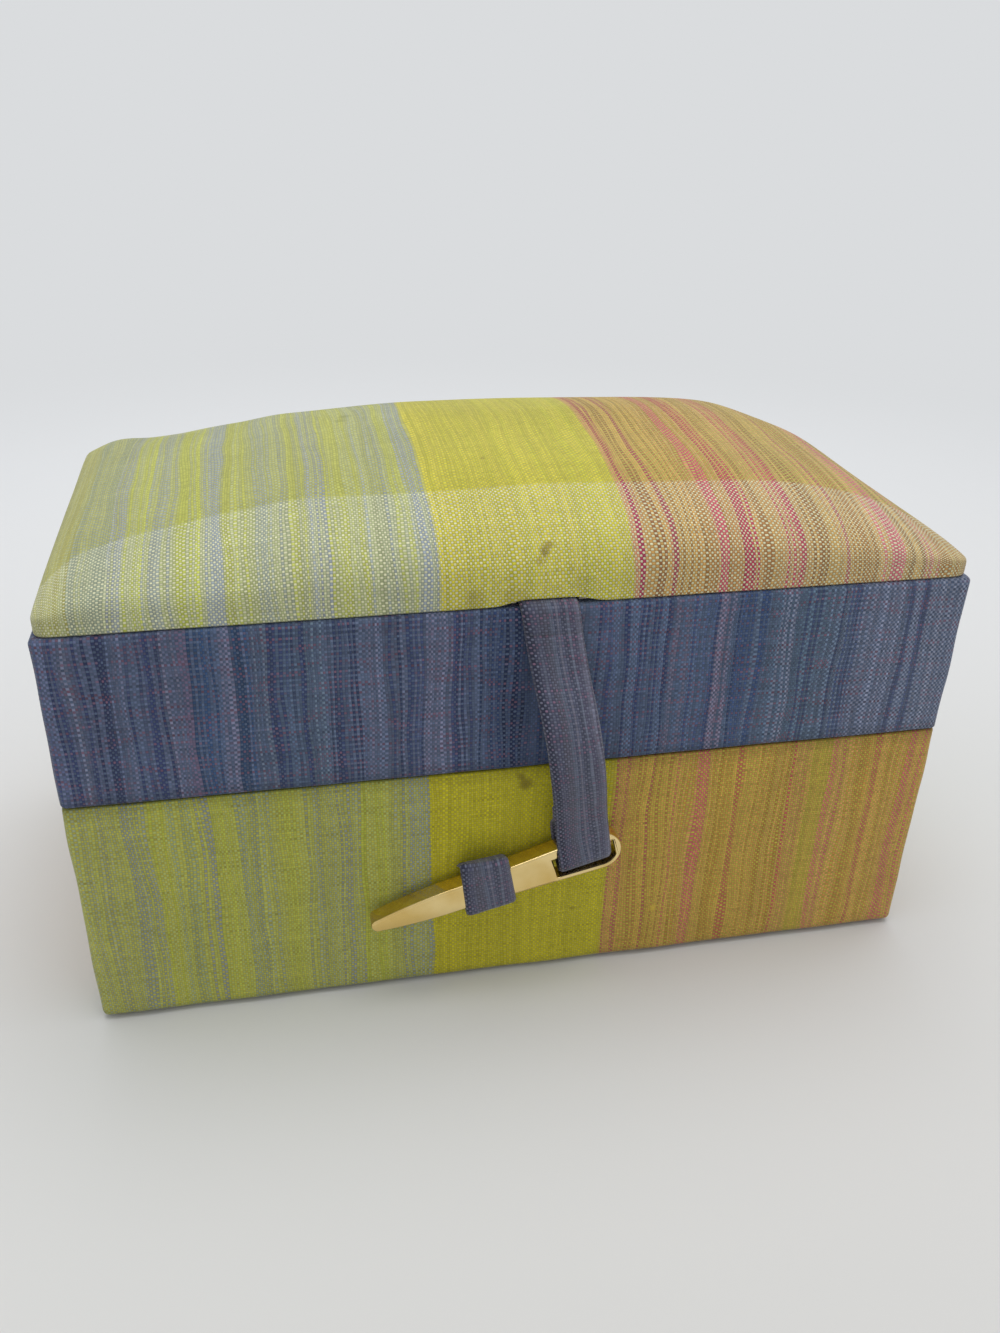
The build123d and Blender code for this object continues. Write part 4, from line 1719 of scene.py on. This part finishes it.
@dataclass
class Studio:
    """A sweep of pale paper, a soft lamp overhead and an even room, in metres."""

    paper: MattPaper = field(default_factory=MattPaper)
    lamp: Softbox = field(default_factory=Softbox)
    room: str = "#E9EBEE"
    room_level: float = 0.76
    reach: float = 2.6
    flat_rows: tuple[float, ...] = (-0.6, 0.0, 0.4)
    bend_from: float = 1.1
    bend: float = 0.6
    top: float = 2.4

    def floor(self) -> None:
        """Builds the floor and backdrop as one curved sweep."""
        angles = np.linspace(-math.pi / 2, 0, 17)
        curve = [(y, 0.0) for y in (-self.reach, *self.flat_rows)]
        curve += list(np.array([self.bend_from, self.bend]) + self.bend * on_circle(angles))
        curve.append((self.bend_from + self.bend, self.top))
        points = np.array([[x, y, z] for y, z in curve for x in (-self.reach, 0.0, self.reach)])
        piece = make_mesh("paper_sweep", points / MM, grid_faces(len(curve), 3))
        piece.data.materials.append(self.paper.material())

    def light(self) -> None:
        """Hangs the lamp and sets the even room light, with haze behind for the camera."""
        self.lamp.make()
        world = bpy.data.worlds.new("pale_room")
        world.use_nodes = True
        tree = world.node_tree
        tree.nodes.clear()
        glow = add(tree, "Background", {0: linear(self.room), 1: self.room_level})
        beyond = add(tree, "Background", {0: linear(self.paper.haze), 1: 1.0})
        seen = add(tree, "LightPath")
        add(tree, "OutputWorld", {0: add(tree, "MixShader", {0: seen, 1: glow, 2: beyond})})
        bpy.context.scene.world = world
        bpy.context.scene.view_settings.view_transform = "Standard"


@dataclass
class Viewpoint:
    """The camera, solved on the box's corners in the photograph: angles in radians."""

    place: Span = (-35.3, -179.3, 142.4)
    yaw: float = 0.207
    pitch: float = 0.507
    roll: float = 0.025
    lens: float = 30.70
    sensor: float = 36.0

    def make(self) -> None:
        """Places the camera and makes it the scene's own."""
        level_ahead = Vector((math.sin(self.yaw), math.cos(self.yaw), 0.0))
        ahead = level_ahead * math.cos(self.pitch) - Vector((0.0, 0.0, math.sin(self.pitch)))
        level = Vector((math.cos(self.yaw), -math.sin(self.yaw), 0.0))
        above = level.cross(ahead)
        right = math.cos(self.roll) * level + math.sin(self.roll) * above
        up = -math.sin(self.roll) * level + math.cos(self.roll) * above
        camera = bpy.data.cameras.new("front_camera")
        camera.sensor_fit = "VERTICAL"
        camera.sensor_height = self.sensor
        camera.lens = self.lens
        camera.clip_start = 10 * MM
        holder = link("front_camera", camera)
        pose = Matrix((right, up, -ahead)).transposed().to_4x4()
        pose.translation = Vector(self.place) * MM
        holder.matrix_world = pose
        bpy.context.scene.camera = holder


# Yarns of this box

BASE_SILK = StripedSilk(
    name="striped_slub_silk_green_olive_ochre",
    ground=(
        (-88, "#CF9D55"), (-78.1, "#CF9D55"), (-78, "#B2B961"), (-68, "#ADB66A"),
        (-60, "#B0B96A"), (-52, "#B4BC60"), (-44, "#AEB76A"), (-36, "#B1BA64"),
        (-30, "#A9B270"), (-24, "#B3BC5E"), (-18, "#A8B27C"), (-16.1, "#AAB47C"),
        (-16, "#C9BE0E"), (13.4, "#C9BE0E"), (13.5, "#CB875C"), (16.8, "#CF9A4E"),
        (22, "#D3A34A"), (28, "#D2985A"), (33, "#D5A44C"), (43, "#D49E52"), (46.5, "#CC9258"),
        (48.6, "#CAA246"), (50.6, "#CAA346"), (52, "#D69C64"), (58, "#D6A050"), (66, "#D69A5C"),
        (76, "#D5A051"),
    ),
    accent=(
        (-88, "#D68B62"), (-78, "#A2AC82"), (-63, "#97A493"), (-59, "#B9C247"),
        (-56, "#9DAC7E"), (-52.5, "#95A29A"), (-49.5, "#B6BF4F"), (-46, "#98A788"),
        (-40, "#B5BE51"), (-36, "#9BA887"), (-31.5, "#919E98"), (-27, "#B3BE47"),
        (-21.5, "#94A29C"), (-16, "#CEC317"), (13.5, "#C0685E"), (17, "#BB7F44"),
        (19, "#C2665A"), (20.5, "#BB7F44"), (24, "#C56B58"), (25, "#BD863A"), (27, "#D06866"),
        (30, "#BD863A"), (35, "#C0664E"), (36.5, "#BD863A"), (44.5, "#D25A5C"), (48, "#C4AA3C"),
        (51.5, "#D27468"), (55, "#C38B42"), (59, "#C96A58"), (60.5, "#C38B42"), (65, "#D06C68"),
        (70, "#CA8B4A"),
    ),
    weft=("#BEB542", "#A9A03A"),
    weft_share=0.36,
    accent_share=0.46,
    # painted shade along the seam at 0 and along the bottom edge at -42
    folds=(0.0, -42.0),
    stains=(
        Stain(-0.2, -3.0, 1.8, 0.62),
        Stain(-1.2, -1.6, 1.0, 0.5),
        Stain(8.8, -29.7, 0.7, 0.4),
        Stain(22.7, -31.7, 1.1, 0.55, "#D8B83E"),
    ),
)

BAND_SILK = StripedSilk(
    name="striped_slub_silk_slate_blue",
    ground=(
        (-88, "#5C6C88"), (-66, "#666E8D"), (-58, "#5E6C8A"), (-52, "#666E8A"),
        (-48.5, "#566989"), (-43, "#5C6A89"), (-36, "#5A6D87"), (-24, "#636E89"),
        # from -4 to 2 the ground is dark slate yarn, with the strap's shadow painted in on its left
        (-14, "#6A718B"), (-9, "#5D6A87"), (-4, "#47587B"), (-1, "#455579"), (2, "#5A6782"),
        (14, "#60718F"), (28, "#5C7091"), (34, "#60728D"), (44, "#627A91"), (54, "#767F98"),
        (64, "#7E88A0"),
    ),
    accent=(
        (-88, "#37426C"), (-67, "#7B819B"), (-65, "#364068"), (-60.5, "#777D9A"),
        (-58.5, "#36416C"), (-53.5, "#7F819B"), (-51.5, "#7F7493"), (-50, "#345079"),
        (-46.5, "#7D7F9B"), (-44.5, "#345077"), (-41.5, "#6F7D93"), (-39, "#37446B"),
        (-34, "#6C7F93"), (-31.5, "#39466D"), (-26, "#7D809B"), (-22, "#3B486F"),
        # from -9 to 0 the accent is dark navy yarn, with the strap's shadow painted in on its left
        (-17, "#7E7F9B"), (-13, "#3B466D"), (-9, "#2D4068"), (-5, "#1D2D52"), (0, "#3B4E77"),
        (6, "#7B8199"), (8.5, "#394875"), (21, "#7D7D97"), (24, "#3B4C77"), (28, "#817C95"),
        (30.5, "#39517D"), (38, "#818AA1"), (41.5, "#46577F"), (52, "#8A91AA"), (58, "#535F84"),
        (63, "#8F96AC"),
    ),
    weft=("#505F79", "#715469"),
    weft_share=0.4,
    accent_share=0.47,
    group=0.55,
    stray_yarns=0.38,
    thread_contrast=0.3,
    dot_contrast=0.16,
    # painted shade along the band's lower edge at the seam
    folds=(0.0,),
)

CUSHION_SILK = StripedSilk(
    name="checked_slub_silk_straw_tan_green",
    ground=(
        (-88, "#C5BA79"), (-66, "#B9BE83"), (-60, "#B3BA8F"), (-54, "#B8BF81"),
        (-47, "#B4BB8D"), (-40, "#B8BF81"), (-31, "#B2B991"), (-25, "#B7BE85"),
        (-18, "#B0B895"), (-13.9, "#ADB699"), (-13.8, "#D0C735"), (14.7, "#D1CB36"),
        (14.8, "#CF8D6C"), (17.2, "#D3A45C"), (24, "#D6A857"), (28, "#D59F66"),
        (31.5, "#D59D66"), (36, "#D6A95F"), (40, "#D19D6C"), (44, "#D4AC62"), (54, "#D4AA68"),
        (57, "#D5A470"), (60, "#D3AB67"), (70, "#CEAD6A"),
    ),
    accent=(
        (-88, "#B9B663"), (-66, "#A5B097"), (-61, "#A2ACB0"), (-59, "#C4CB5E"),
        (-55, "#A7B1A6"), (-51, "#C5CC5C"), (-48, "#A2ADB2"), (-44.5, "#C3C864"),
        (-40, "#A8B2A2"), (-35, "#C2C768"), (-32, "#A3ADB3"), (-29, "#C3C866"),
        (-23.5, "#A6B1AC"), (-20.5, "#C0C66B"), (-17.5, "#A2ADB5"), (-13.8, "#D7CB3F"),
        (14.8, "#B73C5D"), (17.5, "#A66F40"), (19, "#BA515E"), (21.5, "#B17F40"),
        (27, "#CD5C69"), (29.5, "#BD8B40"), (31, "#C1435A"), (34, "#B17F48"), (38, "#C95266"),
        (42, "#AB7B48"), (46, "#CD756F"), (48.5, "#B7854A"), (55, "#D7787F"), (58, "#A97F4C"),
        (62, "#D18379"), (65, "#B9894C"),
    ),
    weft=("#DBDAB4", "#BBB753"),
    weft_change=-21.7,
    weft_share=0.33,
    accent_share=0.53,
    stains=(
        Stain(2.3, -33.9, 1.0, 0.55, "#7A6428"),
        Stain(1.5, -34.9, 1.3, 0.6, "#6E5A24"),
        Stain(0.4, -36.2, 1.0, 0.4, "#7A6428"),
        Stain(-8.9, -41.4, 2.6, 0.35, "#7A6A2C"),
        Stain(-3.0, -41.6, 3.0, 0.25, "#7A6A2C"),
        Stain(7.0, -39.6, 2.4, 0.22, "#6E6A2C"),
        Stain(-23.5, 10.6, 1.6, 0.4, "#7C8038"),
        Stain(-24.3, 8.2, 1.4, 0.35, "#7C8038"),
        Stain(-4.0, -12.7, 0.7, 0.4, "#8A7430"),
        # a large faint pale patch on the cushion's rear left, paler than the cloth round it
        Stain(-50.0, 28.0, 9.0, 0.2, "#D2D2AC"),
    ),
)

STRAP_SILK = StripedSilk(
    name="ribbed_silk_tape_grey_purple",
    ground=(
        (-88, "#7C7C90"), (-3.5, "#2F3249"), (-3.0, "#7B8294"), (-2.3, "#30334A"),
        (-1.8, "#83818F"), (-1.1, "#2D3048"), (-0.6, "#747D90"), (0.2, "#31344C"),
        (0.7, "#838190"), (1.4, "#2D3048"), (1.9, "#798092"), (2.6, "#31344B"),
        (3.1, "#828296"),
    ),
    accent=((-88, "#52546A"), (-1.4, "#585C72"), (1.4, "#565469")),
    weft=("#6C7083", "#7B5F75"),
    weft_share=0.28,
    warp_pitch=0.4,
    accent_share=0.36,
    group=0.3,
    stray_yarns=0.4,
    thread_contrast=0.2,
    dot_contrast=0.14,
    bump=0.16,
)


def main() -> None:
    """Builds the box around its frame."""
    logging.basicConfig(level=logging.INFO, format="%(message)s")
    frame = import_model()
    Viewpoint().make()
    studio = Studio()
    studio.floor()
    studio.light()

    sizes = BoxSizes()
    base_silk, band_silk = BASE_SILK.material(), BAND_SILK.material()
    cushion_silk, strap_silk = CUSHION_SILK.material(), STRAP_SILK.material()
    wall_lining = PlainCloth("gold_lining_cloth_walls", "#B98F3E", Lie.UPRIGHT).material()
    floor_lining = PlainCloth("gold_lining_cloth_floors", "#B98F3E", Lie.FLAT).material()
    underside = PlainCloth("dark_cotton_underside", "#2E2E33", Lie.FLAT, sheen=0.05).material()
    card = BinderBoard().material()
    gilt = PolishedGilt().material()

    BaseCover(sizes).make(base_silk)
    LidBand(sizes).make(band_silk)
    Cushion(sizes).make(cushion_silk)
    toggle = Toggle(sizes)
    toggle.make(gilt)
    Strap(sizes).make(toggle, strap_silk)
    Keeper(sizes).make(strap_silk)
    HingeStrip(sizes).make(band_silk)
    LinedPanel("base_floor_padding", "base_floor_pad", "base", faces_up=True).make(floor_lining)
    LinedPanel("lid_ceiling_padding", "lid_ceiling_panel", "lid", faces_up=False).make(floor_lining)

    for name, node in frame["nodes"].items():
        if node.hide_render:
            continue
        if "lining" in name:
            chosen, slot = wall_lining, "lining_silk"
        elif "underside" in name:
            chosen, slot = underside, "underside_cloth"
        else:
            chosen, slot = card, "card"
        node.data.materials.clear()
        node.data.materials.append(chosen)
        LOG.info("%s keeps its solid, in %s", name, chosen.name)


if __name__ == "__main__":
    main()
